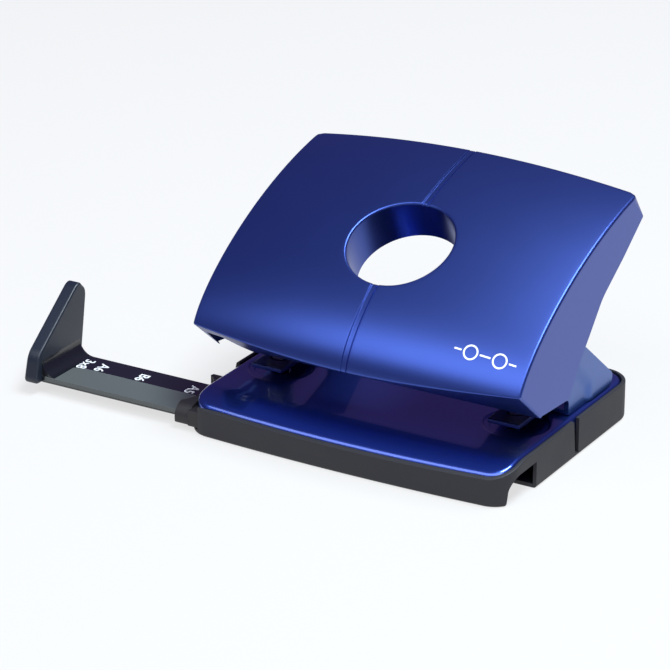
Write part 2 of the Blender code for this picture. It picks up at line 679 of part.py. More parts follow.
def lever_cavity():
    """The inside of the lever, run past its open underside."""
    loops = []
    for x in stations(LEVER_HALF_WIDTH - LEVER_WALL):
        chain = offset_chain(face_chain(x), LEVER_WALL)
        lip_run = (chain[0] - chain[1]).normalized() * 12
        rim_run = (chain[-1] - chain[-2]).normalized() * 12
        loop = [chain[0] + lip_run] + chain + [chain[-1] + rim_run, Vector((5.0, 8.0))]
        loops.append([(x, p.x, p.y) for p in loop])
    return loft("lever_cavity", loops)


def eye_axis():
    """Centre of the big hole on the face, and the direction out of the face."""
    point, slope = curve_point(EYE_CURVE_PLACE)
    outward = Vector((-slope.y, slope.x)).normalized()
    point = point + outward * FACE_CROWN
    return Vector((0, point.x, point.y)), Vector((0, outward.x, outward.y))


def groove_cutter():
    """Shallow groove down the middle of the face."""
    chain = face_chain(0.0)[1:-1]
    deep = offset_chain(chain, GROOVE_DEPTH)
    high = offset_chain(chain, -3.0)
    run_out = [high[0] + (deep[0] - deep[1]), high[-1] + (deep[-1] - deep[-2])]
    deep[0] += (deep[0] - deep[1]) * 0.5
    deep[-1] += (deep[-1] - deep[-2]) * 0.5
    outline = deep + [run_out[1]] + list(reversed(high)) + [run_out[0]]
    return prism("face_groove", [tuple(p) for p in outline], "X",
                 -GROOVE_WIDTH / 2, GROOVE_WIDTH / 2)


def make_lever_shell():
    """Moulded handle: crowned face, side walls, lip, rim, big hole with its tube, two bosses."""
    shell = lever_solid()
    set_origin(shell, (0, PIVOT_Y, PIVOT_Z))
    round_edges(shell, LEVER_EDGE_ROUND)
    centre, outward = eye_axis()
    cavity = lever_cavity()
    cut(cavity, rod("eye_tube", EYE_RADIUS + EYE_TUBE_WALL, centre + outward * 5,
                    centre - outward * EYE_TUBE_LENGTH, sides=48))
    for side in (-1, 1):
        spot = (side * ARM_CENTRE_X, SCREW_Y)
        cut(cavity, rod("boss_" + side_name(side), BOSS_RADIUS, (*spot, ARM_TOP + GAP),
                        (*spot, RIM_TIP[1]), sides=24))
    cut(shell, cavity)
    cut(shell, rod("eye", EYE_RADIUS, centre + outward * 5,
                   centre - outward * (EYE_TUBE_LENGTH + 5), sides=48))
    cut(shell, groove_cutter())
    low = LIP_EDGE[1] - 4
    outer, inner = (from_side - LEVER_HALF_WIDTH for from_side in LIP_NOTCH_FROM_SIDE)
    cut(shell, prism("lip_notch", ((outer, low), (inner + 4, low), (inner + 3, 23.5),
                                   (inner, 27.0), (inner - 2, 29.0), (outer, 29.0)),
                     "Y", LIP_NOTCH_Y, LIP_EDGE[0] + 6))
    for side in (-1, 1):
        spot = (side * ARM_CENTRE_X, SCREW_Y)
        cut(shell, rod("boss_hole_" + side_name(side), SCREW_RADIUS + GAP, (*spot, 30),
                       (*spot, ARM_TOP + SCREW_LENGTH), sides=20))
    return add_part(shell, material("lever_blue_plastic", (0.05, 0.06, 0.35), 0.0, 0.35))


# ---------------------------------------------------------------- paper rail

def make_paper_rail():
    """Pull-out format rail with the upright paper stop moulded on its outer end."""
    outer = STOP_INNER_X - STOP_THICKNESS
    rail = box("paper_rail", (STOP_INNER_X - 1.0, RAIL_INNER_END_X),
               (RAIL_FRONT_Y, RAIL_REAR_Y), (RAIL_TOP - RAIL_THICKNESS, RAIL_TOP))
    set_origin(rail, (STOP_INNER_X, 0, RAIL_TOP))
    fuse(rail, prism("stop_plate", STOP_OUTLINE, "X", outer, STOP_INNER_X))
    radius = STOP_SCOOP_RADIUS
    fillet = [(STOP_INNER_X - 0.5, RAIL_TOP - 0.5), (STOP_INNER_X + radius, RAIL_TOP - 0.5)]
    fillet += arc((STOP_INNER_X + radius, RAIL_TOP + radius), radius, 270, 180, 6)
    fillet += [(STOP_INNER_X - 0.5, RAIL_TOP + radius)]
    fuse(rail, prism("stop_fillet", fillet, "Y", RAIL_FRONT_Y + 0.4, RAIL_REAR_Y - 0.4))
    return add_part(rail, material("rail_black_plastic", (0.02, 0.02, 0.022), 0.0, 0.3))


def make_rail_guide():
    """Sleeve under the plate that the rail slides in, with a hooded mouth at the left side."""
    front = RAIL_FRONT_Y - GAP - GUIDE_SIDE
    rear = RAIL_REAR_Y + GAP + GUIDE_SIDE
    guide = box("rail_guide", (-PLATE_HALF_WIDTH - 1.0, GUIDE_INNER_X), (front, rear),
                (GUIDE_BOTTOM, RAIL_TOP + GAP + 1.0))
    fuse(guide, prism("hood", HOOD_OUTLINE, "X", GUIDE_OUTER_X, -PLATE_HALF_WIDTH - 0.4))
    cut(guide, box("rail_slot", (GUIDE_OUTER_X - 5, GUIDE_INNER_X + 5),
                   (RAIL_FRONT_Y - GAP, RAIL_REAR_Y + GAP),
                   (RAIL_TOP - RAIL_THICKNESS - GAP, RAIL_TOP + GAP)))
    middle = (RAIL_FRONT_Y + RAIL_REAR_Y) / 2
    centre = (GUIDE_OUTER_X - 5.0, middle)
    cut(guide, rod("mouth_scoop", HOOD_SCOOP_RADIUS, (*centre, RAIL_TOP), (*centre, 20), sides=40))
    return add_part(guide, material("guide_black_plastic", (0.03, 0.03, 0.033), 0.0, 0.5))


# ---------------------------------------------------------------- assembly

def build():
    make_base_plate()
    make_tray_rear()
    make_tray_flap()
    make_axle()
    make_lever_shell()
    make_paper_rail()
    make_rail_guide()
    for side in (-1, 1):
        make_bracket(side)
        make_axle_clip(side)
        make_pin(side)
        make_pin_ring(side)
        make_pin_spring(side)
        make_press_arm(side)
        make_arm_screw(side)
        for index in range(len(RIVET_SPOTS)):
            make_rivet(side, index)


clear_scene()
PARTS = new_collection("hole_punch")
CUTTERS = new_collection("cutters")
build()
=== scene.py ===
"""Looks of the hole punch: detailed pieces, materials, studio light and camera.

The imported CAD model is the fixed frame.  Lengths are written in millimetres and turned
into metres where a mesh is made.
"""

import math

import bmesh
import bpy
from mathutils import Matrix, Vector


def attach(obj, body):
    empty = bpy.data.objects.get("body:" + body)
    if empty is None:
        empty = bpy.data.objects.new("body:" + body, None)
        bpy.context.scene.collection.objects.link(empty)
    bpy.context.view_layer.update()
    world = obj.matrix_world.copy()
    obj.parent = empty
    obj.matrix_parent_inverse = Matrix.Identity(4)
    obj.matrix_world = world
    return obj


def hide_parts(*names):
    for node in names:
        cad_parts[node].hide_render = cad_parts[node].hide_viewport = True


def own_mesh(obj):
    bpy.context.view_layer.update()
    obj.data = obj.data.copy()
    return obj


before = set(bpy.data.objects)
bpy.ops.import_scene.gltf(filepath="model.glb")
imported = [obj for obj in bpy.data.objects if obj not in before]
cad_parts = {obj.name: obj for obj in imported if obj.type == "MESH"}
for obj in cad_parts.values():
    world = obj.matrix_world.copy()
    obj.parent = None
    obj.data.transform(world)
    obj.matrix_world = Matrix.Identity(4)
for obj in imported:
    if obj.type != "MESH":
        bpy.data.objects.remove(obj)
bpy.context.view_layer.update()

MM = 0.001
SIDES = (-1, 1)

# Lever shell
LEVER_HALF_WIDTH = 54.4
LEVER_WALL = 1.8
FACE_CURVE = ((-34.2, 32.5), (-28.4, 44.8), (2.2, 64.6), (38.0, 70.6))
FACE_CROWN = 4.2
FACE_BOTTOM_BOW = 3.0
FACE_CORNER = 2.6
LIP_EDGE = (-20.9, 21.4)
RIM_TIP = (42.4, 62.8)
SIDE_EDGE = ((29.7, 53.6), (16.6, 45.3), (9.2, 36.9), (2.8, 30.0), (-1.6, 23.2), (-3.6, 20.9))
CORNER_ROUND = 0.9           # rounding where the face meets the lip and the rim
SIDE_ROUND = 0.8             # rounding where the face meets the side walls
FACE_STEPS = 52
EYE_PLACE = 0.556
EYE_RADIUS = 16.2
EYE_ROUND = 0.7
EYE_TUBE_LENGTH = 14.5
EYE_BLOCK = 20.0             # half size of the patch of face round the eye
EYE_PATCH_STEPS = 5
EYE_TUBE_STEPS = 5
EYE_ROUND_ANGLES = (22, 45, 68, 90)
EYE_MIDDLE = 1.5             # so near the middle, the patch's lines keep their X
GROOVE_LINES = ((0.0, 0.12), (0.62, 0.12), (0.8, 0.42), (0.98, 0.42), (1.16, 0.0))
NOTCH_FROM, NOTCH_TO = -52.6, -46.4
NOTCH_SLOPE = 4.0
NOTCH_LIP = 0.33             # share of the lip that is left over the notch
SIDE_EDGE_ROUND = 2.5
RIB_THICKNESS = 1.2
RIB_DEPTH = 5.5
RIB_TAPER = 3.0              # the rib is this much shallower at its rear end
RIB_REAR_Y = 30.0
RIB_STEPS = 12
INNER_RIB_X = 24.0
INNER_RIB_FRONT_Y = -6.0

# Base
PLATE_TOP = 12.0
PLATE_HALF_WIDTH = 52.5
PLATE_FRONT = -40.6
PLATE_REAR = 40.8
PLATE_SHEET = 1.2
PLATE_EDGE_BOTTOM = 7.3
PLATE_EDGE_ROUND = 1.5
TRAY_WALL = 1.15
TRAY_FLOOR = 1.2
GAP = 0.3
TRAY_HALF_WIDTH = PLATE_HALF_WIDTH + TRAY_WALL + GAP
FRONT_BOW = 1.4
FRONT_CORNER = 6.5
REAR_CORNER = 8.0
SLOPE_START_Y = -28.0
SLOPE_DROP = 4.0
DISH_RADIUS = 9.0
DISH_DEPTH = 0.7
HOLE_X = 40.0
HOLE_RADIUS = 2.75
PUNCH_Y = -8.3
SLIT_Y = 4.4
SLIT_WIDTH = 1.9
SLIT_TOP_WIDTH = 3.1
FRONT_OF_ALL = -60.0
NOTCH_FRONT_Y = -38.0
NOTCH_REAR_Y = -22.0
NOTCH_HEIGHT = 8.4
NOTCH_ROUND = 5.0
NOTCH_REACH = 9.0            # from the side of the tray inwards
GUIDE_SWING_ROOM = 4.6       # the flap's wall leans back by this much to clear the rail guide

# Brackets, axle and rivets
BRACKET_SHEET = 1.5
BRACKET_OUTER = 51.5
BRACKET_INNER = 29.3
BRACKET_REAR_Y = 30.8
BRACKET_CORNER = 2.6
CHEEK_LOW = 17.4
CHEEK_TOP = 33.0
CHEEK_TOP_REAR_Y = 10.0
PAPER_STOP_Y = 3.7
PAPER_SLOT = 2.1
TONGUE_HALF_WIDTH = 5.2
TONGUE_FRONT_Y = -16.5
PIVOT = (-18.5, 28.0)
PIVOT_LOBE = 4.2
CHEEK_GRID = ((1, -24, 32), (2, 12, 34))  # axis and span of the cuts, 1 mm apart
CHEEK_GRID_SHIFT = 0.47      # keeps the cuts off the outline's own corners
JOGGLE = 0.7                 # the front of the outer cheek is pressed inwards by this much
JOGGLE_LOW_LINE = ((11.0, 13.5), (17.4, 12.0), (22.6, 6.5), (34.0, -6.0))
JOGGLE_HIGH_LINE = ((11.0, 18.2), (18.2, 18.4), (21.2, 15.6), (23.7, 12.2), (34.0, -1.0))
AXLE_RADIUS = 2.0
AXLE_HALF_LENGTH = 52.1
CLIP_THICKNESS = 0.8
CLIP_RADIUS = 3.6
RIVET_RADIUS = 1.6
RIVET_HEAD_RADIUS = 2.8
RIVET_HEAD = 1.0
RIVET_SPOTS = ((36.0, 11.0), (44.5, 21.0))

# Punch pins, rings and springs
PIN_TIP_Z = 14.6
PIN_TOP_Z = 28.3
RING_Z = 25.4
RING_THICKNESS = 0.8
RING_RADIUS = 4.3
SPRING_WIRE = 0.35
SPRING_RADIUS = 3.6
SPRING_TURNS = 4.5
SPRING_LOW = 15.9

# Press arms and screws
ARM_SHEET = 1.8
ARM_HALF_WIDTH = 8.6
ARM_CENTRE_X = 40.4
ARM_TOP = 34.6
ARM_FRONT_Y = -20.0
ARM_REAR_Y = 3.0
NOSE_RADIUS = 2.0
SCREW_Y = -1.6
SCREW_RADIUS = 1.4
SCREW_HEAD_RADIUS = 2.6
SCREW_HEAD = 1.5
SCREW_LENGTH = 8.0
SCREW_THREADS = 12
SCREW_PITCH = 0.5
THREAD_DEPTH = 0.3
BOSS_RADIUS = 3.6

# Paper rail and its guide
RAIL_FRONT_Y = -37.9
RAIL_REAR_Y = -17.0
RAIL_TOP = 5.5
RAIL_THICKNESS = 2.0
RAIL_END_X = 1.0
STOP_INNER_X = -107.0
STOP_THICKNESS = 4.5
STOP_OUTLINE = ((-41.4, 3.5), (-38.9, 12.4), (-18.2, 28.4), (-16.2, 28.9), (-13.5, 26.0),
                (-13.3, 24.0), (-16.8, 3.5))
STOP_SCOOP_RADIUS = 5.0
# The grey band on the rail's top is a painted reflection of the pale floor on the glossy black
# rail.
REFLECTION_BAND_REAR_Y = -26.2
REFLECTION_BAND_CURVE = (7.5, 1.0)  # the band starts this far from the stop, rear and front
MARKS = (("3x8", -101.0), ("A6", -95.0), ("B6", -80.2), ("A5", -62.2))
MARK_SIZE = 4.8
MARK_Y = -23.4
GUIDE_OUTER_X = -57.85
GUIDE_INNER_X = -24.0
GUIDE_SIDE = 1.3
GUIDE_BOTTOM = 1.8
HOOD_OUTLINE = ((-39.5, 1.8), (-39.5, 5.0), (-37.6, 7.4), (-31.0, 8.9), (-23.0, 10.2),
                (-17.4, 9.6), (-15.4, 7.8), (-15.4, 1.8))
HOOD_SCOOP_RADIUS = 9.5

# Printed sign on the lever: two holes joined by a line
SIGN_X = 41.0
SIGN_ALONG = -29.5
SIGN_PITCH = 9.0
SIGN_RING = (1.75, 2.25)
SIGN_LINE = 0.25
SIGN_END = 2.2
SIGN_SPACE = 0.6
SIGN_INK = 0.1
SIGN_RING_STEPS = 48
SIGN_LINE_STEPS = 8

# Studio and camera, in metres, watts and degrees
FLOOR_SHADE = 0.14
FLOOR_GLOW = 0.7
WORLD_COLOUR = (0.55, 0.34, 1.0)
WORLD_STRENGTH = 0.14
LIGHTS_AIM = (0, 0, 0.03)
CAMERA_LENS = 177.3
CAMERA_PLACE = (0.44015, -0.78492, 0.40081)
CAMERA_TURN = (67.5, 0, 30.7)


# --- mesh helpers ---

def new_object(name, data):
    """An object with this data, linked to the scene."""
    obj = bpy.data.objects.new(name, data)
    bpy.context.scene.collection.objects.link(obj)
    return obj


def mesh_object(name, work):
    """An object from a bmesh in metres, faces turned outwards."""
    bmesh.ops.recalc_face_normals(work, faces=work.faces)
    mesh = bpy.data.meshes.new(name)
    work.to_mesh(mesh)
    work.free()
    return new_object(name, mesh)


def join_rings(work, rings):
    """Faces between each closed ring of vertices and the next one."""
    for ring, following in zip(rings, rings[1:]):
        for k, vertex in enumerate(ring):
            work.faces.new((ring[k - 1], vertex, following[k], following[k - 1]))


def loft(name, loops):
    """A closed body through a row of equal-sized closed loops of points."""
    work = bmesh.new()
    rings = [[work.verts.new(Vector(point) * MM) for point in loop] for loop in loops]
    work.faces.new(rings[0])
    work.faces.new(rings[-1])
    join_rings(work, rings)
    return mesh_object(name, work)


def prism(name, outline, axis, start, end):
    """A flat outline pushed along one axis; the outline holds the other two axes in order."""
    index = "XYZ".index(axis)
    loops = []
    for along in (start, end):
        loops.append([(*pair[:index], along, *pair[index:]) for pair in outline])
    return loft(name, loops)


def box(name, *spans):
    """A box from its (start, end) along X, Y and Z."""
    x, y, z = spans
    return prism(name, ((x[0], y[0]), (x[1], y[0]), (x[1], y[1]), (x[0], y[1])), "Z", *z)


def turned(name, profile, centre, axis="Z", steps=64):
    """A turned body: (radius, height) pairs from one end of the axis to the other."""
    work = bmesh.new()
    line = [work.verts.new(Vector((radius, 0, height)) * MM) for radius, height in profile]
    edges = [work.edges.new(pair) for pair in zip(line, line[1:])]
    if profile[0][0] > 0:
        edges.append(work.edges.new((line[-1], line[0])))
    bmesh.ops.spin(work, geom=line + edges, cent=(0, 0, 0), axis=(0, 0, 1),
                   angle=math.tau, steps=steps, use_duplicate=False)
    bmesh.ops.remove_doubles(work, verts=work.verts, dist=1e-7)
    if axis == "X":
        bmesh.ops.rotate(work, verts=work.verts, matrix=Matrix.Rotation(math.pi / 2, 3, "Y"))
    bmesh.ops.translate(work, verts=work.verts, vec=Vector(centre) * MM)
    return mesh_object(name, work)


def rod(name, radius, start, end, steps=64):
    """A straight round rod between two points along one axis."""
    along = Vector(end) - Vector(start)
    turn = along.to_track_quat("Z", "Y").to_matrix().to_4x4()
    middle = Matrix.Translation((Vector(start) + along / 2) * MM)
    work = bmesh.new()
    bmesh.ops.create_cone(work, cap_ends=True, segments=steps, radius1=radius * MM,
                          radius2=radius * MM, depth=along.length * MM, matrix=middle @ turn)
    return mesh_object(name, work)


def final_mesh(obj):
    """A mesh of what an object shows, modifiers and letters included."""
    bpy.context.view_layer.update()
    result = obj.evaluated_get(bpy.context.evaluated_depsgraph_get())
    return bpy.data.meshes.new_from_object(result)


def apply_modifiers(obj):
    """Turn an object's modifiers into its mesh."""
    obj.data = final_mesh(obj)
    obj.modifiers.clear()


def combine(target, tool, operation):
    """Cut or join with another body, which is used up."""
    step = target.modifiers.new(operation.lower(), "BOOLEAN")
    step.operation = operation
    step.solver = "EXACT"
    step.object = tool
    apply_modifiers(target)
    bpy.data.objects.remove(tool, do_unlink=True)


def cut(target, tool):
    combine(target, tool, "DIFFERENCE")


def fuse(target, tool):
    combine(target, tool, "UNION")


def soften(obj, width, segments=3, angle=50.0):
    """Round the sharp edges."""
    bevel = obj.modifiers.new("rounding", "BEVEL")
    bevel.width = width * MM
    bevel.segments = segments
    bevel.limit_method = "ANGLE"
    bevel.angle_limit = math.radians(angle)
    apply_modifiers(obj)


def place(obj, mat, body, slot, *nodes, angle=32.0):
    """Shade a finished piece, give it its material and tie it to the frame."""
    if obj.type == "MESH":
        obj.data.shade_smooth()
        obj.data.set_sharp_from_angle(angle=math.radians(angle))
        weigh = obj.modifiers.new("weighted_normals", "WEIGHTED_NORMAL")
        weigh.keep_sharp = True
    obj.data.materials.clear()
    obj.data.materials.append(mat)
    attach(obj, body)
    if nodes:
        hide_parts(*nodes)
    return obj


def arc(centre, radius, start, end, count):
    """Points on an arc, angles in degrees."""
    points = []
    for k in range(count + 1):
        angle = math.radians(start + (end - start) * k / count)
        points.append((centre[0] + radius * math.cos(angle), centre[1] + radius * math.sin(angle)))
    return points


def side_name(side):
    return "right" if side > 0 else "left"


def rounded(outline, radius, steps=6, closed=True):
    """The outline with its corners turned into arcs of about this radius."""
    points = [Vector(p) for p in outline]
    result = []
    for k, corner in enumerate(points):
        if not closed and k in (0, len(points) - 1):
            result.append(corner)
            continue
        before = points[k - 1]
        after = points[(k + 1) % len(points)]
        reach = min(radius, (before - corner).length * 0.45, (after - corner).length * 0.45)
        first = corner + (before - corner).normalized() * reach
        last = corner + (after - corner).normalized() * reach
        for step in range(steps + 1):
            t = step / steps
            result.append((1 - t) ** 2 * first + 2 * t * (1 - t) * corner + t ** 2 * last)
    return [tuple(p) for p in result]


# --- materials ---

def set_inputs(node, values):
    """Give a shader node's sockets their values, by name."""
    for name, value in values.items():
        node.inputs[name].default_value = value


def shader_material(name, colour, roughness, metallic=0.0, coat=0.0, coat_roughness=0.05,
                    grain_size=0.15, grain=0.02, mottle=0.06, roughness_spread=0.08):
    """Principled material with fine grain, slight colour mottling and uneven gloss."""
    mat = bpy.data.materials.new(name)
    mat.use_nodes = True
    nodes = mat.node_tree.nodes
    links = mat.node_tree.links
    shader = nodes["Principled BSDF"]
    set_inputs(shader, {"Metallic": metallic, "Coat Weight": coat,
                        "Coat Roughness": coat_roughness})
    where = nodes.new("ShaderNodeTexCoord")

    large = nodes.new("ShaderNodeTexNoise")
    set_inputs(large, {"Scale": 60.0, "Detail": 4.0})
    links.new(where.outputs["Object"], large.inputs["Vector"])

    tint = nodes.new("ShaderNodeMix")
    tint.data_type = "RGBA"
    set_inputs(tint, {"A": (*[c * (1 - mottle) for c in colour], 1),
                      "B": (*[min(1, c * (1 + mottle)) for c in colour], 1)})
    links.new(large.outputs["Fac"], tint.inputs["Factor"])
    links.new(tint.outputs["Result"], shader.inputs["Base Color"])

    gloss = nodes.new("ShaderNodeMapRange")
    set_inputs(gloss, {"From Min": 0.3, "From Max": 0.7,
                       "To Min": roughness * (1 - roughness_spread),
                       "To Max": roughness * (1 + roughness_spread)})
    links.new(large.outputs["Fac"], gloss.inputs["Value"])
    links.new(gloss.outputs["Result"], shader.inputs["Roughness"])

    fine = nodes.new("ShaderNodeTexNoise")
    set_inputs(fine, {"Scale": 1.0 / (grain_size * MM), "Detail": 3.0})
    links.new(where.outputs["Object"], fine.inputs["Vector"])
    bump = nodes.new("ShaderNodeBump")
    set_inputs(bump, {"Strength": 1.0, "Distance": grain * MM})
    links.new(fine.outputs["Fac"], bump.inputs["Height"])
    links.new(bump.outputs["Normal"], shader.inputs["Normal"])
    return mat


def brushed_steel(name, colour, roughness, stretch=(1, 1, 40)):
    """Bright metal with fine drawn or turned lines."""
    mat = shader_material(name, colour, roughness, metallic=1.0, grain=0.004,
                          grain_size=0.08, mottle=0.12, roughness_spread=0.3)
    nodes = mat.node_tree.nodes
    links = mat.node_tree.links
    where = next(node for node in nodes if node.type == "TEX_COORD")
    mapping = nodes.new("ShaderNodeMapping")
    set_inputs(mapping, {"Scale": stretch})
    links.new(where.outputs["Object"], mapping.inputs["Vector"])
    for node in nodes:
        if node.type == "TEX_NOISE" and node.inputs["Scale"].default_value > 1000:
            links.new(mapping.outputs["Vector"], node.inputs["Vector"])
    return mat


LEVER_BLUE = shader_material("lever_blue", (0.03, 0.068, 0.34), 0.36, metallic=0.93, coat=0.4,
                             coat_roughness=0.4, grain_size=0.25, grain=0.0025, mottle=0.012,
                             roughness_spread=0.015)
ENAMEL_BLUE = shader_material("enamel_blue", (0.035, 0.08, 0.42), 0.3, metallic=0.9, coat=1.0,
                              coat_roughness=0.03, grain_size=0.6, grain=0.0008, mottle=0.012,
                              roughness_spread=0.03)
BRACKET_BLUE = shader_material("bracket_blue", (0.035, 0.1, 0.36), 0.3, metallic=0.8, coat=0.3,
                               coat_roughness=0.05, grain_size=0.5, grain=0.0015, mottle=0.04)
# Darker blue for the bracket tongue: painted shade, standing in for the shadow under the lever's
# lip.
TONGUE_PAINTED_SHADE = shader_material("tongue_painted_shade", (0.02, 0.035, 0.16), 0.4, metallic=0.8, coat=0.3,
                              coat_roughness=0.2, grain_size=0.5, grain=0.0015, mottle=0.04)
TRAY_GREY = shader_material("tray_grey", (0.017, 0.017, 0.022), 0.62, grain_size=0.3,
                            grain=0.03, mottle=0.15)
GUIDE_BLACK = shader_material("guide_black", (0.016, 0.014, 0.016), 0.55, grain_size=0.25,
                              grain=0.02, mottle=0.15)
RAIL_BLACK = shader_material("rail_black", (0.006, 0.007, 0.01), 0.22, coat=0.4,
                             grain_size=0.3, grain=0.003, mottle=0.08)
# Grey for the band on the rail: painted reflection of the floor on the glossy black top.
RAIL_PAINTED_REFLECTION = shader_material("rail_painted_reflection", (0.08, 0.09, 0.09), 0.42, grain_size=0.18,
                            grain=0.006, mottle=0.05)
STOP_SLATE = shader_material("stop_slate", (0.007, 0.012, 0.024), 0.42, coat=0.1,
                             coat_roughness=0.2, grain_size=0.2, grain=0.006, mottle=0.06)
PRINT_WHITE = shader_material("print_white", (0.8, 0.82, 0.84), 0.5, grain=0.002)
ZINC = brushed_steel("zinc_steel", (0.6, 0.61, 0.63), 0.28)
TOOL_STEEL = brushed_steel("tool_steel", (0.62, 0.62, 0.64), 0.18)
SPRING_STEEL = brushed_steel("spring_steel", (0.4, 0.4, 0.42), 0.3)
ARM_STEEL = brushed_steel("arm_steel", (0.42, 0.43, 0.45), 0.38, (1, 30, 1))


# --- lever shell ---

def curve_point(part):
    """Point and slope at a part, from 0 to 1, of the face curve seen from the side."""
    a, b, c, d = (Vector(p) for p in FACE_CURVE)
    rest = 1 - part
    point = rest ** 3 * a + 3 * rest ** 2 * part * b + 3 * rest * part ** 2 * c + part ** 3 * d
    slope = 3 * (rest ** 2 * (b - a) + 2 * rest * part * (c - b) + part ** 2 * (d - c))
    return point, slope


def crown(x):
    """How much the face rises at one X, 1 in the middle and 0 at the side walls."""
    return 1 - (x / LEVER_HALF_WIDTH) ** 2


def groove_depth(x):
    """Depth of the two fine lines down the middle of the face."""
    distance = abs(x)
    for (near, near_depth), (far, far_depth) in zip(GROOVE_LINES, GROOVE_LINES[1:]):
        if distance <= far:
            return near_depth + (far_depth - near_depth) * (distance - near) / (far - near)
    return 0.0


def face_spot(x, part, sunk=0.0):
    """Side-view point of the face at one X, sunk below the surface if asked."""
    point, slope = curve_point(part)
    outward = Vector((-slope.y, slope.x)).normalized()
    return point + outward * (FACE_CROWN * crown(x) - sunk)


def face_ends(x):
    """Parts of the face curve where the face begins and ends at one X."""
    edge = max(0.0, abs(x) - (LEVER_HALF_WIDTH - FACE_CORNER))
    shorter = FACE_CORNER - math.sqrt(max(0.0, FACE_CORNER ** 2 - edge ** 2))
    first = -FACE_BOTTOM_BOW * crown(x) / curve_point(0.0)[1].length
    return first, 1 - shorter / curve_point(1.0)[1].length


def lip_share(x):
    """How much of the lip's depth is there at one X; the notch takes some of it away."""
    if x <= NOTCH_FROM or x >= NOTCH_TO + NOTCH_SLOPE:
        return 1.0
    if x <= NOTCH_TO:
        return NOTCH_LIP
    ease = (x - NOTCH_TO) / NOTCH_SLOPE
    return NOTCH_LIP + (1 - NOTCH_LIP) * ease * ease * (3 - 2 * ease)


def lever_chain(x, sunk):
    """Side view of the shell at one X, from the lip's edge over the face to the rim's tip."""
    first, last = face_ends(x)
    face = [face_spot(x, first + (last - first) * k / FACE_STEPS, groove_depth(x))
            for k in range(FACE_STEPS + 1)]
    lip = face[0] + (Vector(LIP_EDGE) - face[0]) * lip_share(x)
    tip = Vector(RIM_TIP) + Vector((0, FACE_CROWN * crown(x)))
    chain = offset_chain([lip] + face + [tip], sunk)
    lip_fold = rounded(chain[:3], CORNER_ROUND, 4, closed=False)[1:-1]
    rim_fold = rounded(chain[-3:], CORNER_ROUND, 4, closed=False)[1:-1]
    folds = [Vector(p) for p in lip_fold], [Vector(p) for p in rim_fold]
    return [chain[0]] + folds[0] + chain[2:-2] + folds[1] + [chain[-1]]


def offset_chain(chain, distance):
    """The same chain moved sideways into the shell, corners kept sharp."""
    moved = []
    for k, point in enumerate(chain):
        before = point - chain[max(k - 1, 0)]
        after = chain[min(k + 1, len(chain) - 1)] - point
        normals = [Vector((s.y, -s.x)).normalized() for s in (before, after) if s.length > 0]
        mean = sum(normals, Vector((0, 0))) / len(normals)
        moved.append(point + mean * distance / mean.length_squared)
    return moved


def lever_columns():
    """(X, depth below the full form) of each column across the lever, middle to right."""
    flat = LEVER_HALF_WIDTH - SIDE_ROUND
    columns = [(x, 0.0) for x, _ in GROOVE_LINES]
    columns += [(x, 0.0) for x in range(2, 54, 2)]
    columns.append((flat, 0.0))
    for angle in (18, 36, 54, 72, 90):
        turn = math.radians(angle)
        columns.append((flat + SIDE_ROUND * math.sin(turn), SIDE_ROUND * (1 - math.cos(turn))))
    return columns


def eye_frame():
    """Centre of the eye on the face, the direction out of it and the direction up the face."""
    point, slope = curve_point(EYE_PLACE)
    outward = Vector((-slope.y, slope.x)).normalized()
    centre = point + outward * FACE_CROWN
    return centre, outward, slope.normalized()


def last_part(holds):
    """The part of the face curve up to which a test holds."""
    low, high = 0.0, 1.0
    for _ in range(30):
        middle = (low + high) / 2
        if holds(middle):
            low = middle
        else:
            high = middle
    return low


def surface_point(x, along):
    """Point of the face at X, and at this distance up the face from the eye's centre."""
    centre, _, up = eye_frame()
    part = last_part(lambda part: (face_spot(x, part) - centre).dot(up) < along)
    return face_spot(x, part, groove_depth(x))


def eye_place(vertex):
    """X of a vertex, and its distance up the face from the eye's centre."""
    centre, _, up = eye_frame()
    spot = Vector((vertex.co.y, vertex.co.z)) / MM - centre
    return vertex.co.x / MM, spot.dot(up)


def eye_patch(columns, grid):
    """First and last column and row of the square of the grid that holds the eye."""
    inside = [k for k, (x, _) in enumerate(columns) if abs(x) <= EYE_BLOCK]
    middle_column = grid[len(columns) // 2]
    rows = [k for k, vertex in enumerate(middle_column) if abs(eye_place(vertex)[1]) <= EYE_BLOCK]
    return inside[0], inside[-1], rows[0], rows[-1]


def rim_target(vertex):
    """Spot on the eye's rim that a vertex of the square's border leads to."""
    x, along = eye_place(vertex)
    rim = EYE_RADIUS + EYE_ROUND
    if abs(x) < EYE_MIDDLE:
        return x, math.copysign(math.sqrt(rim ** 2 - x * x), along)
    size = math.hypot(x, along)
    return x / size * rim, along / size * rim


def patch_rings(work, border, targets):
    """Rings of vertices on the face, from the square's border to the eye's rim."""
    rings = []
    for step in range(1, EYE_PATCH_STEPS + 1):
        share = step / EYE_PATCH_STEPS
        ring = []
        for vertex, target in zip(border, targets):
            x, along = eye_place(vertex)
            x += (target[0] - x) * share
            spot = surface_point(x, along + (target[1] - along) * share)
            ring.append(work.verts.new((x * MM, spot.x * MM, spot.y * MM)))
        rings.append(ring)
    return rings


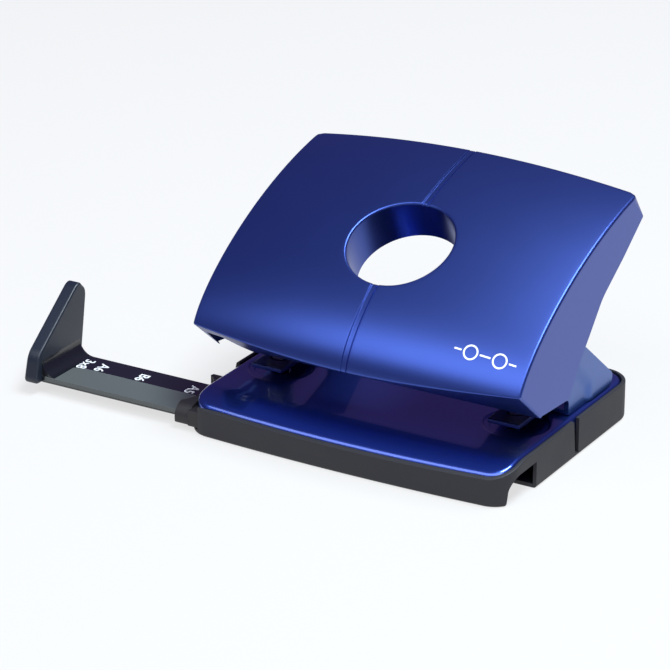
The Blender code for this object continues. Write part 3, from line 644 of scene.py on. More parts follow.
def tube_rings(work, targets):
    """Rings of vertices over the eye's rounded rim and down its tube."""
    centre, outward, up = eye_frame()
    rim = EYE_RADIUS + EYE_ROUND
    heights = [(surface_point(*target) - centre).dot(outward) for target in targets]
    steps = []
    for turn in map(math.radians, EYE_ROUND_ANGLES):
        scale = (EYE_RADIUS + EYE_ROUND * (1 - math.sin(turn))) / rim
        steps.append((scale, [height - EYE_ROUND * (1 - math.cos(turn)) for height in heights]))
    for step in range(1, EYE_TUBE_STEPS + 1):
        levels = []
        for height in heights:
            top = height - EYE_ROUND
            levels.append(top + (-EYE_TUBE_LENGTH - top) * step / EYE_TUBE_STEPS)
        steps.append((EYE_RADIUS / rim, levels))
    rings = []
    for scale, levels in steps:
        ring = []
        for (x, along), level in zip(targets, levels):
            spot = centre + up * along * scale + outward * level
            ring.append(work.verts.new((x * scale * MM, spot.x * MM, spot.y * MM)))
        rings.append(ring)
    return rings


def make_lever_skin():
    """Outer skin of the lever as one open sheet: lip, face with the eye, rim, side walls."""
    half = lever_columns()
    columns = [(-x, sunk) for x, sunk in reversed(half[1:])] + half
    work = bmesh.new()
    grid = []
    for x, sunk in columns:
        grid.append([work.verts.new((x * MM, p.x * MM, p.y * MM)) for p in lever_chain(x, sunk)])
    left, right, low, high = eye_patch(columns, grid)
    for i in range(len(columns) - 1):
        for j in range(len(grid[0]) - 1):
            if left <= i < right and low <= j < high:
                continue
            work.faces.new((grid[i][j], grid[i + 1][j], grid[i + 1][j + 1], grid[i][j + 1]))

    border = [grid[i][low] for i in range(left, right)]
    border += [grid[right][j] for j in range(low, high)]
    border += [grid[i][high] for i in range(right, left, -1)]
    border += [grid[left][j] for j in range(high, low, -1)]
    targets = [rim_target(vertex) for vertex in border]
    join_rings(work, [border] + patch_rings(work, border, targets) + tube_rings(work, targets))

    for column in (grid[0], grid[-1]):
        edge = rounded(SIDE_EDGE, SIDE_EDGE_ROUND, 4, closed=False)
        x = column[0].co.x
        lower = [work.verts.new((x, y * MM, z * MM)) for y, z in edge]
        work.faces.new(column + lower)
    return mesh_object("lever_shell_skin", work)


def make_lever():
    """The moulded lever: the skin given its wall thickness and softened edges."""
    lever = make_lever_skin()
    turn_upwards(lever)
    wall = lever.modifiers.new("wall", "SOLIDIFY")
    wall.thickness = LEVER_WALL * MM
    wall.offset = -1.0
    wall.use_even_offset = True
    wall.thickness_clamp = 1.0
    apply_modifiers(lever)
    soften(lever, 0.3, 2, 60.0)
    place(lever, LEVER_BLUE, "lever", "lever_plastic", "lever_shell")
    for side in SIDES:
        make_boss(side)
        make_ribs(side)
    make_sign()


def under_face(x, y):
    """Height of the middle of the shell's wall above one spot."""
    half = LEVER_WALL / 2
    part = last_part(lambda part: face_spot(x, part, half).x < y)
    return face_spot(x, part, half).y


def make_boss(side):
    """Hollow post under the face that takes a press arm's screw."""
    x = side * ARM_CENTRE_X
    low = ARM_TOP + GAP
    high = min(under_face(x, y) for y in (SCREW_Y - BOSS_RADIUS, SCREW_Y + BOSS_RADIUS))
    bore = SCREW_RADIUS + GAP
    profile = ((bore + 0.3, low), (BOSS_RADIUS - 0.3, low), (BOSS_RADIUS, low + 0.3),
               (BOSS_RADIUS + 0.5, high), (bore, high), (bore, low + 0.3))
    post = turned("arm_boss_" + side_name(side), profile, (x, SCREW_Y, 0), steps=48)
    place(post, LEVER_BLUE, "lever", "lever_plastic")


def make_ribs(side):
    """Thin stiffening ribs under the face, behind each boss and nearer the middle."""
    starts = ((INNER_RIB_X, INNER_RIB_FRONT_Y), (ARM_CENTRE_X, SCREW_Y + BOSS_RADIUS))
    for k, (distance, front) in enumerate(starts):
        x = side * distance
        length = RIB_REAR_Y - front
        ys = [front + length * step / RIB_STEPS for step in range(RIB_STEPS + 1)]
        top = [(y, under_face(x, y)) for y in ys]
        low = [(y, height - RIB_DEPTH + RIB_TAPER * (y - front) / length) for y, height in top]
        rib = prism(f"rib_{side_name(side)}_{k}", top + low[::-1], "X",
                    x - RIB_THICKNESS / 2, x + RIB_THICKNESS / 2)
        soften(rib, 0.2, 2)
        place(rib, LEVER_BLUE, "lever", "lever_plastic")


def sign_point(x, along):
    """Spot just above the face for the print."""
    spot = surface_point(x, along)
    lift = eye_frame()[1] * SIGN_INK
    return Vector((x, spot.x + lift.x, spot.y + lift.y)) * MM


def sign_ring(work, x):
    """Flat ring of the sign round one X."""
    rings = []
    for radius in SIGN_RING:
        ring = []
        for k in range(SIGN_RING_STEPS):
            turn = math.tau * k / SIGN_RING_STEPS
            spot = sign_point(x + radius * math.cos(turn), SIGN_ALONG + radius * math.sin(turn))
            ring.append(work.verts.new(spot))
        rings.append(ring)
    join_rings(work, rings)


def sign_line(work, start, end):
    """Flat line of the sign between two distances from its middle."""
    low, high = [], []
    for k in range(SIGN_LINE_STEPS + 1):
        x = SIGN_X + start + (end - start) * k / SIGN_LINE_STEPS
        low.append(work.verts.new(sign_point(x, SIGN_ALONG - SIGN_LINE)))
        high.append(work.verts.new(sign_point(x, SIGN_ALONG + SIGN_LINE)))
    for k in range(SIGN_LINE_STEPS):
        work.faces.new((low[k], low[k + 1], high[k + 1], high[k]))


def make_sign():
    """Small generic sign for two punched holes, printed on the face."""
    work = bmesh.new()
    half = SIGN_PITCH / 2
    near = half - SIGN_RING[1] - SIGN_SPACE
    far = half + SIGN_RING[1] + SIGN_SPACE
    sign_ring(work, SIGN_X - half)
    sign_ring(work, SIGN_X + half)
    sign_line(work, -far - SIGN_END, -far)
    sign_line(work, -near, near)
    sign_line(work, far, far + SIGN_END)
    print_layer = mesh_object("printed_sign", work)
    turn_upwards(print_layer)
    solid = print_layer.modifiers.new("ink", "SOLIDIFY")
    solid.thickness = SIGN_INK * MM
    solid.offset = -1.0
    apply_modifiers(print_layer)
    place(print_layer, PRINT_WHITE, "lever", "lever_plastic")


def turn_upwards(obj):
    """Turn an open sheet so that the side facing up is its front."""
    upward = sum(face.normal.z * face.area for face in obj.data.polygons)
    if upward < 0:
        obj.data.flip_normals()


# --- base plate and tray ---

def top_height(y):
    """Height of the base's top at a given Y: flat, then curving down to the front."""
    run = max(0.0, SLOPE_START_Y - y) / (SLOPE_START_Y - (PLATE_FRONT - TRAY_WALL - GAP))
    return PLATE_TOP - SLOPE_DROP * run ** 1.9


def plan_rows(inset):
    """Half widths and Y positions of the base's rounded plan, front to rear."""
    half_width = PLATE_HALF_WIDTH - inset
    front_radius = FRONT_CORNER - inset
    rear_radius = REAR_CORNER - inset
    corner_x = half_width - front_radius
    front = PLATE_FRONT + inset
    side_front = front + FRONT_BOW
    rear = PLATE_REAR - inset
    rows = [(x, front + FRONT_BOW * (x / corner_x) ** 2) for x in range(2, 44, 3)]
    rows += arc((corner_x, side_front + front_radius), front_radius, -90, 0, 14)
    rows += [(half_width, y) for y in (-31.0, -29.5, SLOPE_START_Y, -20.0, 0.0, 15.0)]
    rows += arc((half_width - rear_radius, rear - rear_radius), rear_radius, 0, 90, 14)
    rows.append((half_width / 2, rear))
    return rows


def base_volume(name, inset, bottom, top_drop=0.0, rounding=0.0, bottom_round=0.0, steps=6):
    """A block with the base's plan and curved top, edges rounded over."""
    layers = []
    if bottom_round:
        for k in range(steps):
            turn = math.radians(90 * k / steps)
            layers.append((inset + bottom_round * (1 - math.sin(turn)),
                           bottom + bottom_round * (1 - math.cos(turn)), None))
    layers.append((inset, bottom + bottom_round, None))
    for k in range(steps + 1 if rounding else 1):
        turn = math.radians(90 * k / steps)
        layers.append((inset + rounding * (1 - math.cos(turn)), None,
                       rounding * (1 - math.sin(turn))))
    work = bmesh.new()
    rings = []
    for layer_inset, level, drop in layers:
        rows = plan_rows(layer_inset)
        ring = []
        for x, y in rows + [(-x, y) for x, y in reversed(rows)]:
            z = level if drop is None else top_height(y) - top_drop - drop
            ring.append(work.verts.new(Vector((x, y, z)) * MM))
        rings.append(ring)
    join_rings(work, rings)
    for ring in (rings[0], rings[-1]):
        for k in range(len(ring) // 2 - 1):
            work.faces.new((ring[k], ring[k + 1], ring[-2 - k], ring[-1 - k]))
    return mesh_object(name, work)


def dish_profile():
    """Profile of the pressed dish and its die hole, from above the plate downwards."""
    shoulder = arc((DISH_RADIUS + 1.4, -1.5), 1.5, 90, 135, 5)
    foot = arc((DISH_RADIUS - 1.6, -DISH_DEPTH + 0.9), 0.9, -50, -90, 4)
    die = HOLE_RADIUS + 0.1
    lip = arc((die + 0.4, -DISH_DEPTH - 0.4), 0.4, 90, 180, 4)
    return [(0, 3.0), (DISH_RADIUS + 4, 3.0)] + shoulder + foot + lip + [(die, -8), (0, -8)]


def make_base_plate():
    """Pressed steel plate with a rolled edge, two dishes, die holes and rivet holes."""
    plate = base_volume("base_plate_pressed", 0.0, PLATE_EDGE_BOTTOM,
                        rounding=PLATE_EDGE_ROUND, steps=8)
    cut(plate, base_volume("hollow", PLATE_SHEET, 0.0, PLATE_SHEET, rounding=0.6, steps=3))
    for side in SIDES:
        x = side * HOLE_X
        fuse(plate, rod("dish_back", DISH_RADIUS - 0.4, (x, PUNCH_Y, PLATE_TOP - 0.8),
                        (x, PUNCH_Y, PLATE_TOP - PLATE_SHEET - DISH_DEPTH)))
        cut(plate, turned("dish", dish_profile(), (x, PUNCH_Y, PLATE_TOP), steps=96))
        for rivet_x, rivet_y in RIVET_SPOTS:
            spot = (side * rivet_x, rivet_y)
            cut(plate, rod("rivet_hole", RIVET_RADIUS + GAP, (*spot, 0), (*spot, 20)))
    place(plate, ENAMEL_BLUE, "base", "blue_enamel", "base_plate", angle=25)


def tray_body(name):
    """The whole tray before it is divided at the slit."""
    tray = base_volume(name, -TRAY_WALL - GAP, 0.0, 0.15, rounding=0.35, bottom_round=1.0, steps=4)
    cut(tray, base_volume("tray_hollow", -GAP, TRAY_FLOOR, -6.0))
    return tray


def make_tray():
    """Chip tray in its two halves, parted by the slanted slit."""
    reach = TRAY_HALF_WIDTH + 5
    rear = tray_body("tray_rear_moulding")
    cut(rear, box("trim", (-reach, reach), (FRONT_OF_ALL, SLIT_Y + GAP / 2), (-5, 20)))
    soften(rear, 0.25, 2)
    place(rear, TRAY_GREY, "base", "tray_plastic", "tray_rear")

    flap = tray_body("tray_flap_moulding")
    edge = SLIT_Y - GAP / 2
    slit = ((edge, -5), (edge, TRAY_FLOOR), (edge - SLIT_WIDTH, TRAY_FLOOR + 0.1),
            (edge - SLIT_TOP_WIDTH, PLATE_TOP + 1), (edge - SLIT_TOP_WIDTH, 20), (60, 20),
            (60, -5))
    cut(flap, prism("trim", slit, "X", -reach, reach))
    notch = [(NOTCH_REAR_Y, -5), (NOTCH_REAR_Y, NOTCH_HEIGHT)]
    notch += arc((NOTCH_FRONT_Y + NOTCH_ROUND + 1, NOTCH_HEIGHT - NOTCH_ROUND), NOTCH_ROUND,
                 90, 180, 16)
    notch.append((NOTCH_FRONT_Y, -5))
    cut(flap, prism("finger_notch", notch, "X", TRAY_HALF_WIDTH - NOTCH_REACH, reach))
    front = RAIL_FRONT_Y - GUIDE_SIDE - 2 * GAP
    rear_low = RAIL_REAR_Y + GUIDE_SIDE + 2 * GAP
    opening = ((front, GUIDE_BOTTOM - GAP), (rear_low, GUIDE_BOTTOM - GAP),
               (rear_low + GUIDE_SWING_ROOM, PLATE_TOP + 1), (front, PLATE_TOP + 1))
    cut(flap, prism("guide_opening", opening, "X", -reach, GUIDE_INNER_X - 5))
    soften(flap, 0.25, 2)
    place(flap, TRAY_GREY, "flap", "tray_plastic", "tray_flap")


# --- brackets ---

def between(line, z):
    """Y of a bend line at one height."""
    for (z0, y0), (z1, y1) in zip(line, line[1:]):
        if z <= z1:
            return y0 + (y1 - y0) * (z - z0) / (z1 - z0)
    return line[-1][1]


def joggle_shift(y, z):
    """How far the outer cheek is pressed inwards at one spot."""
    low, high = between(JOGGLE_LOW_LINE, z), between(JOGGLE_HIGH_LINE, z)
    share = min(1.0, max(0.0, 2 * (y - low) / (high - low) - 0.5))
    return JOGGLE * (1 - share)


def cheek_outline():
    """Side view of a bracket cheek."""
    foot = PLATE_TOP + GAP
    corner = (BRACKET_REAR_Y - BRACKET_CORNER, foot + BRACKET_CORNER)
    outline = [(PAPER_STOP_Y, foot), (PAPER_STOP_Y, CHEEK_LOW - 1.5)]
    outline += arc((PAPER_STOP_Y - 1.5, CHEEK_LOW - 1.5), 1.5, 20, 90, 4)
    outline += arc(PIVOT, PIVOT_LOBE, 290, 70, 24)
    outline += [(CHEEK_TOP_REAR_Y - 9, CHEEK_TOP), (CHEEK_TOP_REAR_Y - 1, CHEEK_TOP),
                (CHEEK_TOP_REAR_Y + 0.4, CHEEK_TOP - 0.5)]
    outline += arc(corner, BRACKET_CORNER, 45, -90, 12)
    return outline


def cheek(name, x, inwards, shift=None):
    """Sheet-metal cheek whose outer face is at X; shift presses parts of it inwards."""
    work = bmesh.new()
    work.faces.new([work.verts.new((0, y * MM, z * MM)) for y, z in cheek_outline()])
    for axis, low, high in CHEEK_GRID:
        for cut_at in range(low, high):
            spot, normal = Vector(), Vector()
            spot[axis] = (cut_at + CHEEK_GRID_SHIFT) * MM
            normal[axis] = 1
            everything = work.verts[:] + work.edges[:] + work.faces[:]
            bmesh.ops.bisect_plane(work, geom=everything, plane_co=spot, plane_no=normal)
    for vertex in work.verts:
        moved = shift(vertex.co.y / MM, vertex.co.z / MM) if shift else 0.0
        vertex.co.x = (x + inwards * moved) * MM
    sheet = mesh_object(name, work)
    facing = sum(face.normal.x * face.area for face in sheet.data.polygons)
    if facing * inwards > 0:
        sheet.data.flip_normals()
    solid = sheet.modifiers.new("sheet", "SOLIDIFY")
    solid.thickness = BRACKET_SHEET * MM
    solid.offset = -1.0
    apply_modifiers(sheet)
    return sheet


def make_bracket(side):
    """Bearing bracket in sheet metal: two cheeks, a foot, and a tongue that guides the pin."""
    name = side_name(side)
    outer, inner = side * BRACKET_OUTER, side * BRACKET_INNER
    foot, low = PLATE_TOP + GAP, PLATE_TOP + PAPER_SLOT
    x = side * HOLE_X
    cheeks = [cheek("bracket_cheek_outer_" + name, outer, -side, joggle_shift),
              cheek("bracket_cheek_inner_" + name, inner, side)]
    for piece in cheeks:
        cut(piece, rod("bore", AXLE_RADIUS + GAP, (side * 20, *PIVOT), (side * 60, *PIVOT)))
        soften(piece, 0.3, 3, 60.0)
    base = box("bracket_foot_" + name, (inner + side * 1.2, outer - side * 1.2),
               (PAPER_STOP_Y, BRACKET_REAR_Y - BRACKET_CORNER), (foot, foot + BRACKET_SHEET))
    for rivet_x, rivet_y in RIVET_SPOTS:
        spot = (side * rivet_x, rivet_y)
        cut(base, rod("rivet_hole", RIVET_RADIUS + GAP, (*spot, 10), (*spot, 20)))
    soften(base, 0.3)
    step = rounded(((TONGUE_FRONT_Y, low), (TONGUE_FRONT_Y, low + BRACKET_SHEET),
                    (PAPER_STOP_Y + BRACKET_SHEET, low + BRACKET_SHEET),
                    (PAPER_STOP_Y + BRACKET_SHEET + 0.4, foot + 0.1), (PAPER_STOP_Y, foot + 0.1),
                    (PAPER_STOP_Y, low)), 0.5, 4)
    tongue = prism("bracket_tongue_" + name, step, "X", x - TONGUE_HALF_WIDTH,
                   x + TONGUE_HALF_WIDTH)
    cut(tongue, rod("pin_guide", HOLE_RADIUS + GAP, (x, PUNCH_Y, 10), (x, PUNCH_Y, 20)))
    soften(tongue, 0.25)
    place(cheeks[0], BRACKET_BLUE, "base", "bracket_enamel", "bracket_" + name)
    place(cheeks[1], BRACKET_BLUE, "base", "bracket_enamel")
    place(base, BRACKET_BLUE, "base", "bracket_enamel")
    # The tongue's darker blue is painted shade under the lever.
    place(tongue, TONGUE_PAINTED_SHADE, "base", "bracket_enamel")


def make_rivet(side, index):
    """Domed rivet through a bracket foot and the plate."""
    x, y = RIVET_SPOTS[index]
    where = "front" if index == 0 else "rear"
    top = PLATE_TOP + GAP + BRACKET_SHEET + GAP
    under = PLATE_TOP - PLATE_SHEET - GAP
    dome = [(RIVET_HEAD_RADIUS * math.sin(t), top + 0.15 + (RIVET_HEAD - 0.15) * math.cos(t))
            for t in (math.radians(d) for d in range(0, 91, 10))]
    tail = [(RIVET_HEAD_RADIUS, under), (RIVET_HEAD_RADIUS, under - 0.3),
            (RIVET_HEAD_RADIUS * 0.75, under - 0.8), (1.1, under - 0.8), (0.8, under - 0.5),
            (0, under - 0.4)]
    profile = dome + [(RIVET_HEAD_RADIUS, top), (RIVET_RADIUS, top), (RIVET_RADIUS, under)] + tail
    rivet = turned(f"rivet_{side_name(side)}_{where}", profile, (side * x, y, 0), steps=40)
    place(rivet, ZINC, "base", "zinc_steel", f"bracket_rivet_{side_name(side)}_{where}")


def make_axle():
    """Pivot axle with chamfered ends and a groove for each clip."""
    outer = BRACKET_INNER - GAP + 0.2
    inner = BRACKET_INNER - GAP - CLIP_THICKNESS - 0.2
    end, groove = AXLE_HALF_LENGTH, AXLE_RADIUS - 0.5
    half = [(0, end), (AXLE_RADIUS - 0.5, end), (AXLE_RADIUS - 0.15, end - 0.1),
            (AXLE_RADIUS, end - 0.4), (AXLE_RADIUS, outer), (groove, outer), (groove, inner),
            (AXLE_RADIUS, inner)]
    profile = half + [(radius, -height) for radius, height in reversed(half)]
    axle = turned("axle_rod", profile, (0, *PIVOT), "X", 48)
    place(axle, ZINC, "base", "zinc_steel", "pivot_axle")


def open_ring(name, bore, radius, thickness, centre, axis, gap_width):
    """Sprung ring with a gap on one side and rounded edges."""
    half = thickness / 2
    ring = turned(name, ((bore, half), (radius, half), (radius, -half), (bore, -half)),
                  centre, axis, 48)
    x, y, z = centre
    if axis == "X":
        cut(ring, box("gap", (x - 2, x + 2), (y - gap_width / 2, y + gap_width / 2),
                      (z - radius - 1, z)))
    else:
        cut(ring, box("gap", (x - gap_width / 2, x + gap_width / 2), (y, y + radius + 1),
                      (z - 2, z + 2)))
    soften(ring, 0.12, 2)
    return ring


def make_axle_clip(side):
    """Spring clip in the axle groove."""
    x = side * (BRACKET_INNER - GAP - CLIP_THICKNESS / 2)
    clip = open_ring("clip_" + side_name(side), AXLE_RADIUS - 0.2, CLIP_RADIUS, CLIP_THICKNESS,
                     (x, *PIVOT), "X", 2.2)
    place(clip, SPRING_STEEL, "base", "spring_steel", "axle_clip_" + side_name(side))


# --- punch pins and press arms ---

def make_pin(side):
    """Ground punch pin with a domed head, a ring groove and a hollow-ground tip."""
    x = side * HOLE_X
    groove = HOLE_RADIUS - 0.55
    above, below = RING_Z + RING_THICKNESS + 0.2, RING_Z - 0.2
    profile = [(0, PIN_TOP_Z), (HOLE_RADIUS * 0.5, PIN_TOP_Z - 0.1),
               (HOLE_RADIUS * 0.85, PIN_TOP_Z - 0.35), (HOLE_RADIUS, PIN_TOP_Z - 0.7),
               (HOLE_RADIUS, above), (groove, above), (groove, below), (HOLE_RADIUS, below),
               (HOLE_RADIUS, PIN_TIP_Z), (0, PIN_TIP_Z)]
    pin = turned("pin_" + side_name(side), profile, (x, PUNCH_Y, 0), steps=64)
    cut(pin, rod("tip_hollow", 4.0, (x - 5, PUNCH_Y, PIN_TIP_Z - 3.2),
                 (x + 5, PUNCH_Y, PIN_TIP_Z - 3.2), steps=96))
    place(pin, TOOL_STEEL, "punch_" + side_name(side), "tool_steel",
          "punch_pin_" + side_name(side))


def make_pin_ring(side):
    """Retaining ring on the pin that the spring pushes against."""
    centre = (side * HOLE_X, PUNCH_Y, RING_Z + RING_THICKNESS / 2)
    ring = open_ring("ring_" + side_name(side), HOLE_RADIUS - 0.25, RING_RADIUS, RING_THICKNESS,
                     centre, "Z", 2.6)
    place(ring, SPRING_STEEL, "punch_" + side_name(side), "spring_steel",
          "pin_ring_" + side_name(side))


def make_spring(side):
    """Coil spring round the pin, made at rest: it does not squeeze as the pin goes down."""
    low, high = SPRING_LOW + SPRING_WIRE, RING_Z - GAP - SPRING_WIRE
    count = int(SPRING_TURNS * 32)
    sides = 10
    centre = Vector((side * HOLE_X, PUNCH_Y, 0))
    loops = []
    for k in range(count + 1):
        turn = math.tau * k / 32
        out = Vector((math.cos(turn), math.sin(turn), 0))
        middle = centre + out * SPRING_RADIUS + Vector((0, 0, low + (high - low) * k / count))
        loops.append([middle + out * SPRING_WIRE * math.cos(a)
                      + Vector((0, 0, SPRING_WIRE * math.sin(a)))
                      for a in (math.tau * j / sides for j in range(sides))])
    spring = loft("spring_" + side_name(side), loops)
    place(spring, SPRING_STEEL, "base", "spring_steel", "pin_spring_" + side_name(side),
          angle=60)
    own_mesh(spring)


def lug_outline():
    """Side view of a press arm's lug."""
    lobe = arc(PIVOT, 3.9, 300, 150, 18)
    return lobe + [(ARM_FRONT_Y, ARM_TOP - 0.8), (ARM_FRONT_Y + 0.8, ARM_TOP),
                   (ARM_REAR_Y - 0.8, ARM_TOP), (ARM_REAR_Y, ARM_TOP - 0.8),
                   (ARM_REAR_Y, ARM_TOP - 4.0), (PUNCH_Y + 5, PIVOT[1] + 1.0),
                   (PUNCH_Y - 5, PIVOT[1] - 1.0)]


def make_press_arm(side):
    """Pressed steel arm on the axle, with the rounded nose that drives the pin."""
    name = side_name(side)
    centre = side * ARM_CENTRE_X
    left, right = centre - ARM_HALF_WIDTH, centre + ARM_HALF_WIDTH
    arm = prism("arm_" + name, lug_outline(), "X", left, left + ARM_SHEET)
    fuse(arm, prism("far_lug", lug_outline(), "X", right - ARM_SHEET, right))
    fuse(arm, box("web", (left + 0.1, right - 0.1), (ARM_FRONT_Y + 0.1, ARM_REAR_Y - 0.1),
                  (ARM_TOP - ARM_SHEET, ARM_TOP - 0.05)))
    nose_z = PIN_TOP_Z + GAP + NOSE_RADIUS
    rib = [(PUNCH_Y + NOSE_RADIUS, ARM_TOP - 1.0), (PUNCH_Y - NOSE_RADIUS, ARM_TOP - 1.0)]
    rib += arc((PUNCH_Y, nose_z), NOSE_RADIUS, 180, 360, 16)
    fuse(arm, prism("nose", rib, "X", left + 0.2, right - 0.2))
    cut(arm, rod("bore", AXLE_RADIUS + GAP, (side * 20, *PIVOT), (side * 60, *PIVOT)))
    cut(arm, rod("screw_hole", SCREW_RADIUS + GAP, (centre, SCREW_Y, 20), (centre, SCREW_Y, 50)))
    soften(arm, 0.2, 2)
    place(arm, ARM_STEEL, "lever", "arm_steel", "press_arm_" + name)


def make_screw(side):
    """Pan-head cross-slot screw that holds a press arm to its boss."""
    x = side * ARM_CENTRE_X
    top = ARM_TOP - ARM_SHEET - GAP
    tip = top + SCREW_LENGTH
    profile = [(0, tip), (0.4, tip - 0.4), (SCREW_RADIUS - 0.25, tip - 1.0)]
    for k in range(SCREW_THREADS):
        height = tip - 1.2 - k * SCREW_PITCH
        profile += [(SCREW_RADIUS, height), (SCREW_RADIUS - THREAD_DEPTH, height - SCREW_PITCH / 2)]
    profile += [(SCREW_RADIUS, top), (SCREW_HEAD_RADIUS - 0.1, top),
                (SCREW_HEAD_RADIUS, top - 0.15), (SCREW_HEAD_RADIUS, top - 0.7),
                (SCREW_HEAD_RADIUS * 0.85, top - 1.2), (SCREW_HEAD_RADIUS * 0.5, top - 1.45),
                (0, top - SCREW_HEAD)]
    screw = turned("screw_" + side_name(side), profile, (x, SCREW_Y, 0), steps=40)
    for wide, deep in ((0.35, 1.4), (1.4, 0.35)):
        cut(screw, box("slot", (x - wide, x + wide), (SCREW_Y - deep, SCREW_Y + deep),
                       (top - SCREW_HEAD - 1, top - SCREW_HEAD + 0.8)))
    place(screw, ZINC, "lever", "zinc_steel", "arm_screw_" + side_name(side))


# --- paper rail and its guide ---

def make_rail():
    """Format rail with a grey band of painted floor reflection, printed format marks and the
    upright paper stop.
    """
    low = RAIL_TOP - RAIL_THICKNESS
    bar_outline = rounded(((RAIL_FRONT_Y, low), (RAIL_FRONT_Y, RAIL_TOP), (RAIL_REAR_Y, RAIL_TOP),
                           (RAIL_REAR_Y, low)), 0.45, 4)
    bar = prism("rail_bar", bar_outline, "X", STOP_INNER_X - 1.0, RAIL_END_X)
    place(bar, RAIL_BLACK, "rail", "rail_plastic", "paper_rail")

    stop = prism("rail_stop", rounded(STOP_OUTLINE, 2.4, 8), "X",
                 STOP_INNER_X - STOP_THICKNESS, STOP_INNER_X)
    soften(stop, 0.7, 4, 60.0)
    place(stop, STOP_SLATE, "rail", "rail_plastic", angle=40)

    corner = (STOP_INNER_X + STOP_SCOOP_RADIUS, RAIL_TOP + STOP_SCOOP_RADIUS)
    scoop = [(STOP_INNER_X - 0.5, RAIL_TOP - 0.3), (corner[0], RAIL_TOP - 0.3)]
    scoop += arc(corner, STOP_SCOOP_RADIUS, 270, 180, 20)
    scoop.append((STOP_INNER_X - 0.5, corner[1]))
    fillet = prism("rail_scoop", scoop, "Y", RAIL_FRONT_Y + 0.3, RAIL_REAR_Y - 0.3)
    place(fillet, RAIL_BLACK, "rail", "rail_plastic", angle=40)

    # Grey band over the rail's front: painted reflection of the floor.
    low, high = RAIL_TOP - 1.3, RAIL_TOP + 0.03
    front, rear = RAIL_FRONT_Y - 0.03, REFLECTION_BAND_REAR_Y
    far, near = (STOP_INNER_X + away for away in REFLECTION_BAND_CURVE)
    outline = [(RAIL_END_X - 0.5, front), (near, front)]
    for turn in (math.radians(d) for d in range(0, 91, 6)):
        outline.append((near + (far - near) * (1 - math.cos(turn)),
                        front + (rear - front) * math.sin(turn)))
    outline.append((RAIL_END_X - 0.5, rear))
    strip = prism("rail_painted_reflection_band", outline, "Z", low, high)
    soften(strip, 0.15, 2)
    place(strip, RAIL_PAINTED_REFLECTION, "rail", "rail_plastic", angle=40)
    for text, x in MARKS:
        make_mark(text, x)


def make_mark(text, x):
    """One printed paper format, read from the left end of the rail."""
    data = bpy.data.curves.new("format_mark_" + text, "FONT")
    data.body = text
    data.size = MARK_SIZE * MM
    data.align_x = "CENTER"
    data.align_y = "CENTER"
    data.offset = 0.02 * MM
    data.extrude = 0.05 * MM
    letters = new_object(data.name + "_outline", data)
    mesh = final_mesh(letters)
    bpy.data.objects.remove(letters, do_unlink=True)
    turn = Matrix.Rotation(-math.pi / 2, 4, "Z")
    mesh.transform(Matrix.Translation(Vector((x, MARK_Y, RAIL_TOP + 0.05)) * MM) @ turn)
    mark = new_object("format_mark_" + text, mesh)
    place(mark, PRINT_WHITE, "rail", "rail_plastic")


def make_rail_guide():
    """Sleeve for the rail, with a hooded mouth whose front is scooped out for a finger."""
    front = RAIL_FRONT_Y - GAP - GUIDE_SIDE
    rear = RAIL_REAR_Y + GAP + GUIDE_SIDE
    sleeve = box("guide_sleeve", (-PLATE_HALF_WIDTH - 1.0, GUIDE_INNER_X), (front, rear),
                 (GUIDE_BOTTOM, RAIL_TOP + GAP + 1.0))
    hood = prism("guide_hood", rounded(HOOD_OUTLINE, 1.3, 6), "X", GUIDE_OUTER_X,
                 -PLATE_HALF_WIDTH - 0.4)
    slot = ((GUIDE_OUTER_X - 5, GUIDE_INNER_X + 5), (RAIL_FRONT_Y - GAP, RAIL_REAR_Y + GAP),
            (RAIL_TOP - RAIL_THICKNESS - GAP, RAIL_TOP + GAP))
    centre = (GUIDE_OUTER_X - 5.0, (RAIL_FRONT_Y + RAIL_REAR_Y) / 2)
    cut(hood, rod("scoop", HOOD_SCOOP_RADIUS, (*centre, RAIL_TOP), (*centre, 20), steps=96))
    for piece in (sleeve, hood):
        cut(piece, box("rail_slot", *slot))
        soften(piece, 0.4, 3)
    place(hood, GUIDE_BLACK, "base", "guide_plastic", "rail_guide")
    place(sleeve, GUIDE_BLACK, "base", "guide_plastic")


# --- light, floor and camera ---

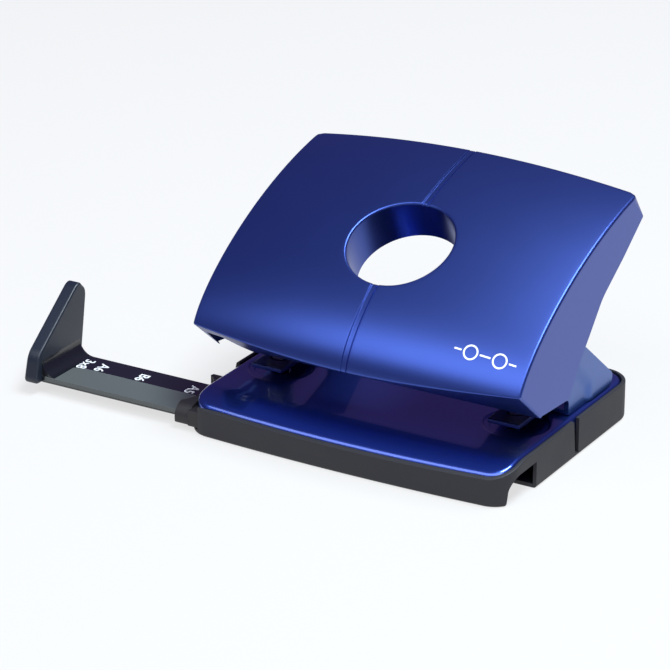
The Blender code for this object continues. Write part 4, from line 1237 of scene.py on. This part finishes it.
def area_light(name, location, size, power, colour):
    """A rectangular soft light aimed at the punch."""
    data = bpy.data.lights.new(name, "AREA")
    data.shape = "RECTANGLE"
    data.size, data.size_y = size
    data.energy = power
    data.color = colour
    light = new_object(name, data)
    light.location = location
    aim = Vector(LIGHTS_AIM) - Vector(location)
    light.rotation_euler = aim.to_track_quat("-Z", "Y").to_euler()


def make_studio():
    """Pale floor, dim violet-tinted world light, and two soft boxes."""
    work = bmesh.new()
    bmesh.ops.create_grid(work, x_segments=8, y_segments=8, size=3.0)
    floor = mesh_object("studio_floor", work)
    paint = bpy.data.materials.new("floor_white")
    paint.use_nodes = True
    shader = paint.node_tree.nodes["Principled BSDF"]
    set_inputs(shader, {"Base Color": (FLOOR_SHADE, FLOOR_SHADE, FLOOR_SHADE, 1),
                        "Roughness": 0.9, "Emission Color": (1, 1, 1, 1),
                        "Emission Strength": FLOOR_GLOW})
    floor.data.materials.append(paint)

    world = bpy.data.worlds.new("studio")
    world.use_nodes = True
    bpy.context.scene.world = world
    background = world.node_tree.nodes["Background"]
    set_inputs(background, {"Color": (*WORLD_COLOUR, 1), "Strength": WORLD_STRENGTH})
    bpy.context.scene.view_settings.view_transform = "Standard"

    area_light("overhead_box", (0.35, 0.05, 1.2), (0.9, 0.4), 26, (0.85, 0.96, 1.0))
    area_light("front_box", (0.05, -0.85, 1.05), (2.0, 0.6), 13, (0.9, 0.97, 1.0))


def make_camera():
    """Long lens from the front right, looking slightly down."""
    data = bpy.data.cameras.new("camera")
    data.lens = CAMERA_LENS
    data.sensor_width = 36.0
    data.clip_end = 20.0
    camera = new_object("camera", data)
    camera.location = CAMERA_PLACE
    camera.rotation_euler = [math.radians(angle) for angle in CAMERA_TURN]
    bpy.context.scene.camera = camera


make_studio()
make_camera()
make_lever()
make_base_plate()
make_tray()
make_axle()
make_rail()
make_rail_guide()
for hand in SIDES:
    make_bracket(hand)
    make_axle_clip(hand)
    make_pin(hand)
    make_pin_ring(hand)
    make_spring(hand)
    make_press_arm(hand)
    make_screw(hand)
    for rivet_index in range(len(RIVET_SPOTS)):
        make_rivet(hand, rivet_index)
